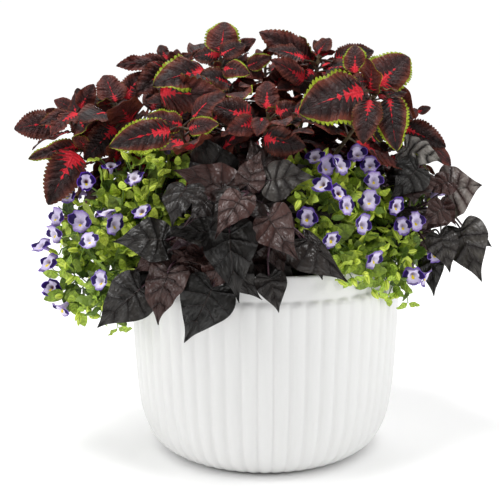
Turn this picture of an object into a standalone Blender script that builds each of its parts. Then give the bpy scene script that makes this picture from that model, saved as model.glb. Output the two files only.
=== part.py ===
"""A patio planter: sweet potato vine, coleus and wishbone flower growing in a ribbed white pot.

Metres, +Z up. The origin is the centre of the pot's underside, and the front is towards -Y.
Leaves and flowers that show from the front are set out along the lines of sight of the
photograph. Those at the sides and the back follow each plant's own rule of growth.
"""

import math
import random
from collections import namedtuple

import bmesh
import bpy
from mathutils import Matrix, Vector
from mathutils.bvhtree import BVHTree

# Pot
RIM_HEIGHT = 0.257
RIM_RADIUS = 0.1708
FLUTE_TOP = 0.227
BASE_RADIUS = 0.125
FLUTES = 56
FLUTE_DEPTH = 0.0042
WALL = 0.006
FLOOR = 0.010
LINER_SIDES = 28
FLUTED_RINGS = ((0.150, 0.018), (0.164, 0.052), (0.1715, 0.120), (0.175, 0.222))
LINER_RINGS = ((0.118, FLOOR), (0.156, 0.052), (0.1635, 0.120), (RIM_RADIUS - WALL, RIM_HEIGHT))

# Soil
SOIL_LEVEL = 0.232
SOIL_CROWN = 0.006
ROOTED = 0.045
SEAT_GAP = 0.0004
ROOT_SPACING = 0.0125
ROOTS_REACH = 0.148
GOLDEN_TURN = 2.4

# Camera of the photograph, whose picture is 500 pixels square
EYE = Vector((0.0, -1.30, 0.503))
EYE_TILT = math.radians(10.73)
AXIS_PIXEL = 265.2
LEVEL_PIXEL = 250.0
FOCAL_PIXELS = 1012.0

# Half the thickness of a blade at its midrib, and how far apart two plants' pieces are
BLADE_HALF = 0.0008
CLEARANCE = 0.0005
STEM_CLEARANCE = 0.0012
SPRAY_CLEARANCE = 0.0011
UP = Vector((0.0, 0.0, 1.0))

# Wishbone flower: how far behind its mouth the calyx and the stem's end lie, and its radii
CALYX_BACK = 0.017
STEM_BACK = 0.030
STEM_DROP = 0.004
STALK_RADIUS = 0.0009
CALYX_RADIUS = 0.0028
MOUTH_RADIUS = 0.0030
MOUTH_BACK = 0.0035
BUD_RADIUS = 0.0012
LONG_STALK = 0.025
LOBE_BACK = 0.0025
THROAT_BACK = 0.002

# A stem that ends high stands up, and one that ends low hangs over
UPRIGHT_HEIGHT = 0.42
HANGING_HEIGHT = 0.23
HANGING_LEAN = 130
COLLAR = 0.004

# What grows of each plant: blade outline, and how a leaf is held
Habit = namedtuple("Habit", "outline midrib spread petiole reach arch fold curl wave stem")
OVATE = ((0.15, 0.90), (0.30, 0.90), (0.44, 1.0), (0.60, 0.74), (0.76, 0.60))
CORDATE = ((-0.10, 0.30), (-0.13, 0.62), (0.02, 0.95), (0.28, 1.0), (0.55, 0.62), (0.80, 0.20))
SERRATE = ((0.32, 1.0), (0.62, 0.70))
HABITS = {
    "coleus": Habit(OVATE, (0.4,), 0.66, 0.0015, 0.016, 0.09, 0.10, 0.30, 0.020, 0.0034),
    "vine": Habit(CORDATE, (0.35,), 0.82, 0.0013, 0.042, 0.08, 0.12, 0.35, 0.025, 0.0030),
    "torenia": Habit(SERRATE, (0.4,), 0.62, 0.0009, 0.0, 0.05, 0.10, 0.10, 0.0, 0.0016),
}

# A leaf in the photograph: pixels of the blade's base and tip, millimetres that the base is in
# front of the pot's axis, how much nearer the tip is, degrees turned about the midrib, and the
# blade's width over its length, or 0 for the plant's own.
Seen = namedtuple("Seen", "base tip depth nearer roll spread", defaults=(0, 0, 0))
# A flower: its place, and degrees to the right and up that it faces.
Bloom = namedtuple("Bloom", "at right up bud", defaults=(0, 15, False))
# A stem: its top, degrees that it leans out there, and what it bears.
Stem = namedtuple("Stem", "plant top lean leaves blooms pairs largest", defaults=((), (), 0, 0.085))
# A blade with its stalk
Leaf = namedtuple("Leaf", "plant root base tip normal spread")
# A closed surface: its points and faces, and which faces are blade
Shape = namedtuple("Shape", "points faces blade")


def sight(pixel, depth):
    """The point that shows at that pixel, that many millimetres in front of the pot's axis."""
    across = (pixel[0] - AXIS_PIXEL) / FOCAL_PIXELS
    rise = (LEVEL_PIXEL - pixel[1]) / FOCAL_PIXELS
    ahead = Vector((0, math.cos(EYE_TILT), -math.sin(EYE_TILT)))
    above = Vector((0, math.sin(EYE_TILT), math.cos(EYE_TILT)))
    ray = ahead + above * rise + Vector((across, 0, 0))
    return EYE + ray * ((-depth / 1000 - EYE.y) / ray.y)


def polar(bearing, reach, height):
    """A point by its bearing round the pot, 0 in front and 90 at the right, and in millimetres."""
    turn = math.radians(bearing)
    return Vector((math.sin(turn) * reach, -math.cos(turn) * reach, height)) / 1000


def facing(right, up):
    """The direction that looks so many degrees to the right of the front, and up."""
    right, up = math.radians(right), math.radians(up)
    return Vector((math.sin(right) * math.cos(up), -math.cos(right) * math.cos(up), math.sin(up)))


def square_to(vector, axis):
    """The part of a vector at right angles to an axis, as a unit vector."""
    return (vector - axis * vector.dot(axis)).normalized()


def bezier(a, b, c, d, t):
    """A point of a cubic curve."""
    s = 1 - t
    return a * s ** 3 + b * (3 * s * s * t) + c * (3 * s * t * t) + d * t ** 3


def tube(path, radii, sides, across):
    """A closed tube along a path, with the first corner of each section on the side of across."""
    points, faces = [], []
    for i, (centre, radius) in enumerate(zip(path, radii)):
        ahead = (path[min(i + 1, len(path) - 1)] - path[max(i - 1, 0)]).normalized()
        across = square_to(across, ahead)
        above = ahead.cross(across)
        for k in range(sides):
            turn = math.tau * k / sides
            points.append(centre + (across * math.cos(turn) + above * math.sin(turn)) * radius)
    for i in range(len(path) - 1):
        for k in range(sides):
            a, b = i * sides + k, i * sides + (k + 1) % sides
            faces.append((a, b, b + sides, a + sides))
    last = (len(path) - 1) * sides
    faces.append(tuple(range(sides))[::-1])
    faces.append(tuple(range(last, last + sides)))
    return Shape(points, faces, ())


def between(a, a_at, b, b_at):
    """Triangles between two chains of points that end in the same point."""
    faces, i, j = [], 0, 0
    while i < len(a) - 1 or j < len(b) - 1:
        if j == len(b) - 1 or (i < len(a) - 1 and a_at[i + 1] <= b_at[j + 1]):
            faces.append((a[i], a[i + 1], b[j]))
            i += 1
        else:
            faces.append((a[i], b[j + 1], b[j]))
            j += 1
    return [face for face in faces if len(set(face)) == 3]


def surface(leaf, t, x):
    """The middle of a blade, t lengths from its base and x half widths to one side."""
    habit = HABITS[leaf.plant]
    chord = leaf.tip - leaf.base
    length = chord.length
    along = chord.normalized()
    across = along.cross(leaf.normal)
    side = x * leaf.spread * length / 2
    lift = habit.arch * 4 * t * (1 - t) * length
    lift += habit.fold * abs(side) - habit.curl * side * side / length
    lift += habit.wave * length * x * abs(x) * math.sin(19 * t + 3 * leaf.spread)
    return leaf.base + along * (t * length) + across * side + leaf.normal * lift


def leaf_shape(leaf):
    """A blade that is thickest at its midrib, with its stalk."""
    habit = HABITS[leaf.plant]
    along = (leaf.tip - leaf.base).normalized()
    across = along.cross(leaf.normal)
    path = [leaf.base] if leaf.plant == "torenia" else [leaf.root, leaf.base]
    points, faces = [], []
    ahead = (path[-1] - path[0]).normalized() if path[1:] else along
    for centre in path:
        side = square_to(across, ahead) * habit.petiole
        above = side.cross(ahead)
        points += [centre + side, centre + above, centre - side, centre - above]
    neck = len(points) - 4
    if neck:
        faces += [(k, (k + 1) % 4, (k + 1) % 4 + 4, k + 4) for k in range(4)]
    faces.append((3, 2, 1, 0))
    tip = len(points)
    points.append(leaf.tip)
    midrib_at = [0, *habit.midrib, 1]
    chains = []
    for half in (BLADE_HALF, -BLADE_HALF):
        start = len(points)
        points += [surface(leaf, t, 0) + leaf.normal * half for t in habit.midrib]
        chains.append(list(range(start, len(points))))
    upper = [neck + 1, *chains[0], tip]
    lower = [neck + 3, *chains[1], tip]
    stalk = len(faces)
    for first, way in ((neck, 1), (neck + 2, -1)):
        start = len(points)
        points += [surface(leaf, t, w * way) for t, w in habit.outline]
        edge = [first, *range(start, len(points)), tip]
        edge_at = [min(t for t, w in habit.outline) - 0.1, *(t for t, w in habit.outline), 1]
        faces += between(edge, edge_at, upper, midrib_at)
        faces += between(edge, edge_at, lower, midrib_at)
    blade = [i for i in range(stalk, len(faces)) if neck or min(faces[i]) > 3]
    return Shape(points, faces, blade)


# A flower's edge: degrees round from its right, and millimetres out
LOBES = ((-108, 12.5), (-72, 12.5), (-40, 8.0), (-12, 12.8), (14, 12.8), (34, 8.5), (56, 12.0),
         (90, 10.5), (124, 12.0), (146, 8.5), (166, 12.8), (192, 12.8), (220, 8.0))


def bloom_path(bloom, root):
    """The centre line and radii of a flower's stalk, calyx and tube."""
    look = facing(bloom.right, bloom.up)
    neck = bloom.at - look * CALYX_BACK
    path = [root, neck, bloom.at - look * (0 if bloom.bud else MOUTH_BACK)]
    radii = [STALK_RADIUS, CALYX_RADIUS, BUD_RADIUS if bloom.bud else MOUTH_RADIUS]
    if (neck - root).length > LONG_STALK:
        path.insert(1, (root + neck) / 2 + UP * (neck - root).length * 0.12)
        radii.insert(1, STALK_RADIUS)
    return path, radii


def corolla(bloom, points, faces, mouth):
    """Adds four lobes round the mouth of a flower's tube, with the throat a little behind them."""
    look = facing(bloom.right, bloom.up)
    across = square_to(UP.cross(look), look)
    above = look.cross(across)
    start = len(points)
    for turn, radius in LOBES:
        turn = math.radians(turn)
        out = across * math.cos(turn) + above * math.sin(turn)
        points.append(bloom.at + out * (radius / 1000) - look * (LOBE_BACK * math.sin(2 * turn) ** 2))
    throat = len(points)
    points.append(bloom.at - look * THROAT_BACK)
    rim = list(range(start, throat))
    faces += [(a, b, throat) for a, b in zip(rim, rim[1:] + rim[:1])]
    ring = sorted(mouth, key=lambda i: bearing_in(points[i], bloom.at, across, above))
    faces += ring_between(rim, ring, points, bloom.at, across, above)


def bloom_shape(bloom, root):
    """A wishbone flower by itself: its stalk, a tube that widens to the mouth, and its lobes."""
    path, radii = bloom_path(bloom, root)
    points, faces, blade = tube(path, radii, 4, UP)
    if not bloom.bud:
        mouth = faces.pop()
        corolla(bloom, points, faces, mouth)
    return Shape(points, faces, [i for i, face in enumerate(faces) if min(face) > 3])


def bearing_in(point, centre, across, above):
    """The bearing of a point round a centre, from -126 to 234 degrees."""
    turn = math.degrees(math.atan2((point - centre).dot(above), (point - centre).dot(across)))
    return (turn + 126) % 360 - 126


def ring_between(outer, inner, points, centre, across, above):
    """Triangles between two rings of points that both go round the same way."""
    outer_at = [bearing_in(points[i], centre, across, above) for i in outer]
    inner_at = [bearing_in(points[i], centre, across, above) for i in inner]
    outer, outer_at = [*outer, outer[0]], [*outer_at, outer_at[0] + 360]
    inner, inner_at = [*inner, inner[0]], [*inner_at, inner_at[0] + 360]
    faces, i, j = [], 0, 0
    while i < len(outer) - 1 or j < len(inner) - 1:
        if j == len(inner) - 1 or (i < len(outer) - 1 and outer_at[i + 1] <= inner_at[j + 1]):
            faces.append((outer[i], outer[i + 1], inner[j]))
            i += 1
        else:
            faces.append((outer[i], inner[j + 1], inner[j]))
            j += 1
    return faces


def stitch(points, faces, ring, other):
    """Joins two rings of four points by the side faces of the least twisted way round."""
    ways = [other[k:] + other[:k] for k in range(4)]
    ways += [way[::-1] for way in ways]
    way = min(ways, key=lambda w: sum((points[i] - points[j]).length for i, j in zip(ring, w)))
    for k in range(4):
        j = (k + 1) % 4
        faces.append((ring[k], ring[j], way[j], way[k]))


def spray_shape(path, stem, leaves, blooms):
    """A whole spray: leaves and a side flower grow out of faces of its square stem."""
    ahead, widths = bloom_path(blooms[0], path[-1]) if 0 in blooms else ([], [])
    radii = [*stem_radii(stem, path), *widths[1:]]
    points, faces, blade = tube([*path, *ahead[1:]], radii, 4, Vector((1, 0, 0)))
    if 0 in blooms:
        corolla(blooms[0], points, faces, faces.pop())
    for leaf, section, side in leaves:
        a, b = section * 4 + side, section * 4 + (side + 1) % 4
        faces.remove((a, b, b + 4, a + 4))
        across = (leaf.tip - leaf.base).normalized().cross(leaf.normal)
        if (points[b] - points[a]).dot(across) < 0:
            a, b = b, a
        tip = len(points)
        points.append(leaf.tip)
        upper, lower = tip + 1, tip + 2
        middle = HABITS["torenia"].midrib[0]
        points.append(surface(leaf, middle, 0) + leaf.normal * BLADE_HALF)
        points.append(surface(leaf, middle, 0) - leaf.normal * BLADE_HALF)
        faces += [(a + 4, b + 4, upper), (a, b, lower)]
        for corner, way in ((b, 1), (a, -1)):
            start = len(points)
            points += [surface(leaf, t, w * way) for t, w in SERRATE]
            edge = list(range(start, len(points))) + [tip]
            edge_at = [0, *(t for t, w in SERRATE), 1]
            faces += between([corner + 4, *edge], edge_at, [upper, tip], [middle, 1])
            faces += between([corner, *edge], edge_at, [lower, tip], [middle, 1])
            faces.append((corner, corner + 4, start))
    if 1 in blooms:
        bloom = blooms[1]
        goal = bloom_path(bloom, path[SIDE_BLOOM_SECTION])[0][1] - path[SIDE_BLOOM_SECTION]
        side = max(range(4), key=lambda k: side_normal(points, SIDE_BLOOM_SECTION, k).dot(goal))
        a, b = SIDE_BLOOM_SECTION * 4 + side, SIDE_BLOOM_SECTION * 4 + (side + 1) % 4
        faces.remove((a, b, b + 4, a + 4))
        quad = (a, b, b + 4, a + 4)
        ahead, widths = bloom_path(bloom, sum((points[i] for i in quad), Vector()) / 4)
        start = len(points)
        more, sides, blade = tube(ahead[1:], widths[1:], 4, UP)
        points += more
        end = tuple(i + start for i in sides[-1])
        faces += [tuple(i + start for i in face) for face in sides[:-2]]
        stitch(points, faces, quad, tuple(range(start, start + 4)))
        if bloom.bud:
            faces.append(end)
        else:
            corolla(bloom, points, faces, end)
    return Shape(points, faces, ())


def side_normal(points, section, side):
    """The direction that one side of a square stem faces, between a section and the next."""
    a, b = points[section * 4 + side], points[section * 4 + (side + 1) % 4]
    return (b - a).cross(points[section * 4 + 4 + side] - a).normalized()


class Thicket:
    """Everything that has its place so far, so that nothing grows through it."""

    def __init__(self):
        self.taken = []

    def add(self, node, shape):
        """Keeps a shape's place."""
        tree = BVHTree.FromPolygons(shape.points, shape.faces)
        blade = BVHTree.FromPolygons(shape.points, [shape.faces[i] for i in shape.blade])
        self.taken.append((node, bounds(shape.points), tree, blade))

    def clear(self, node, shape, gap):
        """Whether a shape is that far from every other node."""
        low, high = bounds(shape.points)
        tree = None
        for other, (least, most), taken, blade in self.taken:
            apart = any(low[k] - gap > most[k] or high[k] + gap < least[k] for k in range(3))
            if other == node or apart:
                continue
            tree = tree or swollen(shape, gap)
            if tree.overlap(taken):
                return False
        return True

    def uncrossed(self, node, shape):
        """Whether a shape's blade crosses no blade of its own node."""
        blade = BVHTree.FromPolygons(shape.points, [shape.faces[i] for i in shape.blade])
        own = [taken for other, box, tree, taken in self.taken if other == node]
        return not any(blade.overlap(taken) for taken in own)


def tangled(shape):
    """Whether two faces of a shape that share no corner cross each other."""
    tree = BVHTree.FromPolygons(shape.points, shape.faces)
    return any(a < b and not set(shape.faces[a]) & set(shape.faces[b]) for a, b in tree.overlap(tree))


def bounds(points):
    """The lowest and highest corner of some points."""
    return [min(p[k] for p in points) for k in range(3)], [max(p[k] for p in points) for k in range(3)]


def swollen(shape, gap):
    """A tree of a shape in six places, each a gap away along an axis."""
    points, faces = [], []
    for axis in Matrix.Identity(3):
        for shift in (axis * gap, axis * -gap):
            start = len(points)
            points += [p + shift for p in shape.points]
            faces += [tuple(i + start for i in face) for face in shape.faces]
    return BVHTree.FromPolygons(points, faces)


# How far out a stem's root is, over how far out its top is
SHARE_OF_REACH = {"coleus": 0.30, "vine": 0.42, "torenia": 0.50}
# Where a spray bears its lowest leaves, its side flower, and its upper leaves, by their share of
# the stem, and the section of the stem that the side flower grows from
LOW_LEAVES = 0.56
SIDE_BLOOM = 0.68
HIGH_LEAVES = (0.80, 0.94)
SIDE_BLOOM_SECTION = 5


def vine(top, *leaves, pairs=(), largest=0.085):
    """A stem of the sweet potato vine."""
    return Stem("vine", top, lean_at(top, 25), leaves, (), pairs, largest)


def coleus(top, *leaves, pairs=(), lean=None, largest=0.090):
    """A shoot of the coleus."""
    reach = math.hypot(top.x, top.y)
    return Stem("coleus", top, reach * 190 if lean is None else lean, leaves, (), pairs, largest)


def torenia(*blooms, pairs=range(3), largest=0.036):
    """A spray of the wishbone flower, whose stem ends behind its first flower."""
    first = blooms[0]
    top = first.at - facing(first.right, first.up) * STEM_BACK - UP * STEM_DROP
    return Stem("torenia", top, lean_at(top, 30), (), blooms, pairs, largest)


def lean_at(top, upright):
    """How many degrees a stem leans out at its top: one that ends lower hangs further over."""
    share = (UPRIGHT_HEIGHT - top.z) / (UPRIGHT_HEIGHT - HANGING_HEIGHT)
    return upright + (HANGING_LEAN - upright) * min(max(share, 0), 1)


# The first stems are those that show from the front. The last ones fill the sides and the back.
STEMS = (
    coleus(sight((380, 88), 80), Seen((363, 91), (299, 113), 95, 0, -10, 0.85),
           Seen((370, 100), (363, 144), 105, 25, 5, 0.62), Seen((378, 86), (409, 57), 75, -35, 10, 0.75),
           Seen((390, 98), (397, 151), 100, 30, 15, 0.6), Seen((355, 73), (355, 45), 70, -25, 0, 0.7),
           Seen((369, 82), (338, 85), 80, 0, 10), pairs=range(3, 4)),
    coleus(sight((268, 112), 90), Seen((267, 109), (267, 81), 80, -30, 0),
           Seen((251, 119), (211, 104), 90, -15, -20), Seen((276, 113), (300, 108), 90, -25, 15),
           Seen((264, 138), (306, 147), 110, 15, 20), Seen((255, 122), (226, 132), 100, 20, -25),
           Seen((262, 118), (257, 136), 100, 25, 0)),
    coleus(sight((218, 68), 0), Seen((221, 53), (225, 22), 0, -30, 0, 0.9),
           Seen((220, 55), (194, 57), 10, -20, -10), Seen((221, 55), (245, 44), 10, -20, 10),
           Seen((224, 68), (250, 74), 20, 20, 15), Seen((228, 84), (200, 74), 25, 35, 0),
           Seen((248, 66), (272, 57), 0, 0, 20), pairs=range(3, 4)),
    coleus(sight((320, 55), -30), Seen((310, 60), (259, 32), -25, 10, -20, 0.5),
           Seen((304, 59), (267, 50), -10, 15, 20), Seen((304, 80), (270, 60), 20, 25, -15, 0.5),
           Seen((335, 62), (374, 51), -30, 0, 15), Seen((318, 54), (330, 38), -40, -20, 0),
           pairs=range(2, 5)),
    coleus(sight((175, 65), -50), Seen((168, 64), (116, 66), -50, 20, -10),
           Seen((166, 60), (160, 45), -55, -15, 0), Seen((178, 62), (193, 54), -50, 0, 10),
           Seen((206, 72), (153, 86), -10, 35, 0), Seen((168, 68), (136, 93), -40, 30, -25),
           Seen((160, 92), (226, 95), 10, 20, 40, 0.5), pairs=range(3, 4)),
    coleus(sight((110, 102), 0), Seen((116, 102), (104, 75), 0, -25, 0, 0.95),
           Seen((115, 128), (84, 160), 30, 25, -20), Seen((124, 98), (144, 72), -10, -20, 20),
           pairs=range(3, 4)),
    coleus(sight((66, 120), 0), Seen((58, 123), (14, 129), 0, 10, -20, 0.7),
           Seen((72, 115), (39, 125), 20, 25, 0, 0.5), Seen((77, 113), (51, 136), 10, 40, 20, 0.5),
           Seen((80, 108), (94, 84), 0, -10, 20), pairs=range(3, 4)),
    coleus(sight((88, 150), 40), Seen((80, 146), (28, 159), 40, 15, -10),
           Seen((75, 152), (48, 205), 60, 25, -15, 0.62), pairs=range(3, 4)),
    coleus(sight((176, 124), 95), Seen((170, 130), (109, 147), 105, 20, -15, 0.55),
           Seen((182, 126), (147, 116), 100, 0, -10), Seen((189, 129), (219, 124), 110, 10, 10)),
    coleus(sight((412, 120), -20), Seen((404, 128), (446, 147), -10, 25, 25, 0.6),
           Seen((418, 112), (452, 100), -40, 0, 20), pairs=range(3, 4)),
    vine(sight((252, 196), 145), Seen((220, 185), (194, 131), 105, -35),
         Seen((229, 190), (173, 170), 130, 0, -10), Seen((247, 186), (262, 150), 140, -15),
         Seen((268, 180), (316, 178), 140, 5, 15, 0.95), Seen((242, 197), (215, 239), 170, 20, -15, 0.6),
         Seen((240, 192), (211, 225), 152, 10, -20, 0.7)),
    vine(sight((231, 226), 150), Seen((229, 229), (239, 303), 178, 18, 0, 0.72),
         Seen((230, 262), (262, 300), 162, 15, 15, 0.8), Seen((213, 287), (184, 343), 185, 12, -20),
         Seen((212, 232), (169, 236), 165, 0, -10, 0.7)),
    vine(sight((197, 205), 132), Seen((186, 186), (172, 228), 135, 30, -10),
         Seen((208, 200), (189, 221), 155, 5, -10), Seen((165, 240), (112, 242), 165, -10, -10),
         Seen((170, 245), (136, 272), 155, 0, -15), Seen((205, 258), (176, 262), 185, 5, 0, 0.7)),
    vine(sight((165, 275), 172), Seen((168, 270), (158, 325), 182, 10, -10, 0.75),
         Seen((141, 288), (97, 328), 168, 0, -20), Seen((192, 262), (184, 290), 178, 5, 0)),
    vine(sight((276, 218), 150), Seen((268, 216), (299, 261), 178, 20, 15, 0.75),
         Seen((269, 276), (279, 313), 185, 6, 5), Seen((305, 238), (349, 283), 150, 20, 20, 0.85),
         Seen((262, 240), (296, 281), 165, 15, 10)),
    vine(sight((408, 165), -10), Seen((382, 152), (419, 174), 35, 15, 0, 0.7),
         Seen((405, 148), (442, 162), -5, 10, 10, 0.9), Seen((424, 176), (428, 200), 10, 20, 0),
         Seen((418, 168), (390, 200), 30, 25, -10)),
    vine(sight((448, 207), 0), Seen((446, 191), (482, 185), -5, 5, 10, 0.95),
         Seen((460, 228), (482, 282), 5, 25, 20), Seen((474, 236), (492, 247), -15, 0, 10),
         Seen((443, 208), (420, 226), 25, 25, -10)),
    vine(sight((434, 232), 15), Seen((440, 235), (450, 273), 40, 15, 10),
         Seen((430, 256), (434, 297), 50, 10, 0)),
    torenia(Bloom(sight((111, 164), 70), -10, 35)),
    torenia(Bloom(sight((134, 176), 85), 0, 30)),
    torenia(Bloom(sight((167, 143), 40), 5, 40)),
    torenia(Bloom(sight((86, 181), 80), -20, 25), Bloom(sight((67, 194), 65), -70, 10)),
    torenia(Bloom(sight((55, 216), 65), -50, 15), Bloom(sight((52, 234), 70), -20, 0)),
    torenia(Bloom(sight((80, 221), 115), -20, 15), Bloom(sight((89, 239), 135), -10, 5)),
    torenia(Bloom(sight((106, 211), 125), 0, 20), Bloom(sight((117, 224), 145), 20, 10)),
    torenia(Bloom(sight((141, 210), 130), 10, 20)),
    torenia(Bloom(sight((39, 244), 40), -60, 10), Bloom(sight((46, 262), 60), -30, 0)),
    torenia(Bloom(sight((100, 280), 150), -15, 0), Bloom(sight((68, 250), 110), -30, -20, True)),
    torenia(Bloom(sight((50, 287), 75), -50, -5), Bloom(sight((59, 311), 95), -20, -20)),
    torenia(Bloom(sight((315, 156), 105), 0, 30), Bloom(sight((327, 162), 110), 40, 15)),
    torenia(Bloom(sight((341, 163), 110), 30, 20), Bloom(sight((358, 152), 90), 10, 30)),
    torenia(Bloom(sight((370, 163), 95), 20, 20), Bloom(sight((374, 180), 110), 10, 10)),
    torenia(Bloom(sight((321, 183), 135), -15, 20), Bloom(sight((307, 217), 165), 0, 5)),
    torenia(Bloom(sight((340, 192), 135), 10, 15), Bloom(sight((348, 205), 150), 20, 10)),
    torenia(Bloom(sight((369, 199), 125), 15, 15), Bloom(sight((364, 224), 145), 5, 0)),
    torenia(Bloom(sight((398, 206), 95), 25, 15), Bloom(sight((403, 226), 100), 10, 0)),
    torenia(Bloom(sight((417, 221), 80), 40, 10)),
    torenia(Bloom(sight((332, 240), 170), 0, 0)),
    torenia(Bloom(sight((377, 260), 145), 20, 0)),
    torenia(Bloom(sight((414, 277), 112), 25, -30), Bloom(sight((428, 278), 85), 45, -20)),
    torenia(Bloom(sight((436, 254), 60), 45, 5)),
    torenia(Bloom(polar(100, 235, 330), 100, 20), Bloom(polar(112, 240, 300), 120, 10)),
    torenia(Bloom(polar(262, 250, 330), -95, 20), Bloom(polar(250, 245, 290), -110, 5)),
    torenia(Bloom(polar(232, 225, 270), -130, 10), Bloom(polar(222, 220, 310), -140, 20)),
    coleus(polar(180, 55, 500), pairs=range(0, 5)),
    coleus(polar(150, 150, 455), pairs=range(1, 5)),
    coleus(polar(205, 160, 450), pairs=range(1, 5)),
    coleus(polar(115, 205, 400), pairs=range(1, 5)),
    coleus(polar(240, 215, 400), pairs=range(1, 5)),
    coleus(polar(178, 215, 370), pairs=range(2, 5)),
    vine(polar(160, 205, 290), pairs=range(5)),
    vine(polar(196, 205, 270), pairs=range(5)),
    vine(polar(128, 215, 285), pairs=range(5)),
    vine(polar(222, 200, 250), pairs=range(4)),
)


# How a stem bends: millimetres to one side, and how far its rise and its droop carry
BENDS = [(bow, rise, hang) for rise, hang in ((0.45, 0.4), (0.6, 0.55), (0.8, 0.7), (0.3, 0.3), (1, 0.9))
         for bow in (0, 8, -8, 16, -16, 24, -24)]


def stem_path(stem, root, bow, rise, hang):
    """The centre line of a stem: straight up out of the soil, then out and over to its top."""
    outward = Vector((stem.top.x - root.x, stem.top.y - root.y, 0)).normalized()
    lean = math.radians(stem.lean)
    axis = outward * math.sin(lean) + UP * math.cos(lean)
    collar = Vector((root.x, root.y, SOIL_LEVEL + SOIL_CROWN + COLLAR))
    reach = (stem.top - collar).length
    side = outward.cross(UP) * (bow / 1000)
    shares = [0, 0.25, 0.5, 0.75, 1]
    if stem.plant == "torenia":
        half = HABITS["torenia"].stem / reach
        shares = [0, 0.3]
        for node in (LOW_LEAVES, *(SIDE_BLOOM for bloom in stem.blooms[1:]), *HIGH_LEAVES):
            shares += [node - half, node + half]
        shares.append(1)
    first = collar + UP * reach * rise + side
    second = stem.top - axis * reach * hang + side
    bend = [bezier(collar, first, second, stem.top, t) for t in shares]
    return [Vector((root.x, root.y, SOIL_LEVEL - ROOTED)), *bend]


def leaf_section(path, index):
    """The section of a spray's stem that its pair of leaves of that number grows from."""
    return (len(path) - 3, len(path) - 5, 3)[index]


def stem_radii(stem, path):
    """A stem's radius at each point of its centre line: it narrows towards its top."""
    radius = HABITS[stem.plant].stem
    return [radius * (1 - 0.4 * max(i - 1, 0) / (len(path) - 2)) for i in range(len(path))]


def stem_shape(stem, path):
    """The solid of a stem."""
    return tube(path, stem_radii(stem, path), 4, Vector((1, 0, 0)))


def rootings():
    """Where each stem leaves the soil: further out for one that ends further out, and well apart."""
    taken = []
    for stem in STEMS:
        wanted = Vector((stem.top.x, stem.top.y, 0)) * SHARE_OF_REACH[stem.plant]
        for step in range(200):
            turn = step * GOLDEN_TURN
            place = wanted + Vector((math.cos(turn), math.sin(turn), 0)) * (0.003 * math.sqrt(step))
            if place.length < ROOTS_REACH and all((place - other).length > ROOT_SPACING for other in taken):
                break
        taken.append(place)
    return taken


def along(path, share):
    """A point of a polyline, and the direction there, by the share of its length above the soil."""
    path = path[1:]
    lengths = [(b - a).length for a, b in zip(path, path[1:])]
    left = share * sum(lengths)
    for a, b, length in zip(path, path[1:], lengths):
        if left <= length or b is path[-1]:
            return a.lerp(b, min(left / length, 1)), (b - a).normalized()
        left -= length


def joined(plant, path, base, tip, normal, spread):
    """A leaf whose stalk comes to the back of its blade from the best place on the stem."""
    normal = square_to(normal, (tip - base).normalized())
    reach = HABITS[plant].reach

    def strain(spot):
        stalk = base - spot
        return abs(stalk.length - reach) + 2 * reach * max(0.4 - stalk.normalized().dot(normal), 0)

    root = min((along(path, share / 40)[0] for share in range(6, 40)), key=strain)
    return Leaf(plant, root, base, tip, normal, spread or HABITS[plant].spread)


# Millimetres nearer, degrees turned about the midrib, and millimetres that the tip is nearer
MOVES = sorted(((shift, turn, dip) for shift in (0, -6, 6, -12, 12, -18, 18, -25, 25)
                for turn in (0, -14, 14, -28, 28) for dip in (0, 10, -10, 20, -20)),
               key=lambda m: abs(m[0]) + abs(m[1]) / 2 + abs(m[2]))


def seen_leaves(stem, path, seen):
    """A leaf of the photograph, and then the same leaf moved along the line of sight or turned."""
    for shift, turn, dip in MOVES:
        base = sight(seen.base, seen.depth + shift)
        tip = sight(seen.tip, seen.depth + seen.nearer + shift + dip)
        chord = (tip - base).normalized()
        face = square_to((EYE - base).normalized() * 0.75 + UP * 0.5, chord)
        normal = Matrix.Rotation(math.radians(seen.roll + turn), 3, chord) @ face
        yield joined(stem.plant, path, base, tip, normal, seen.spread)


# Degrees swung round the stem and tilted down, and the share of its size that a leaf keeps
NUDGES = sorted(((swing, tilt, size) for swing in (0, 14, -14, 28, -28) for tilt in (0, 14, -14, 28)
                 for size in (1, 0.8, 0.64)), key=lambda n: abs(n[0]) + abs(n[1]) + 60 * (1 - n[2]))
# Pairs from the stem's tip down: how far below it, how large, and degrees from the stem
PAIR_DEPTHS = (0.006, 0.020, 0.042, 0.074, 0.112)
PAIR_SIZES = (0.30, 0.55, 0.80, 1.0, 1.05)
PAIR_ANGLES = (35, 52, 66, 78, 92)


def paired_leaves(stem, path, pair, way, draw):
    """A leaf of an opposite pair, each pair square to the one above, and then the same leaf nudged."""
    length_of_stem = sum((b - a).length for a, b in zip(path[1:], path[2:]))
    below, size, angle = PAIR_DEPTHS[pair], PAIR_SIZES[pair] * stem.largest, PAIR_ANGLES[pair]
    root, axis = along(path, max(1 - below / length_of_stem, 0.12))
    side = square_to(Vector((0.3, 1, 0.2)), axis)
    start = 90 * pair + 180 * way + draw.uniform(-14, 14) + 40
    size *= draw.uniform(0.9, 1.08)
    for swing, tilt, shrink in NUDGES:
        radial = Matrix.Rotation(math.radians(start + swing), 3, axis) @ side
        lean = math.radians(angle + tilt)
        out = axis * math.cos(lean) + radial * math.sin(lean)
        base = root + out * (HABITS[stem.plant].reach * (0.5 + 0.5 * shrink * size / stem.largest))
        tip = base + (out - UP * 0.22).normalized() * size * shrink
        normal = square_to(axis + UP * 0.4, (tip - base).normalized())
        yield Leaf(stem.plant, root, base, tip, normal, HABITS[stem.plant].spread)


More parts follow.
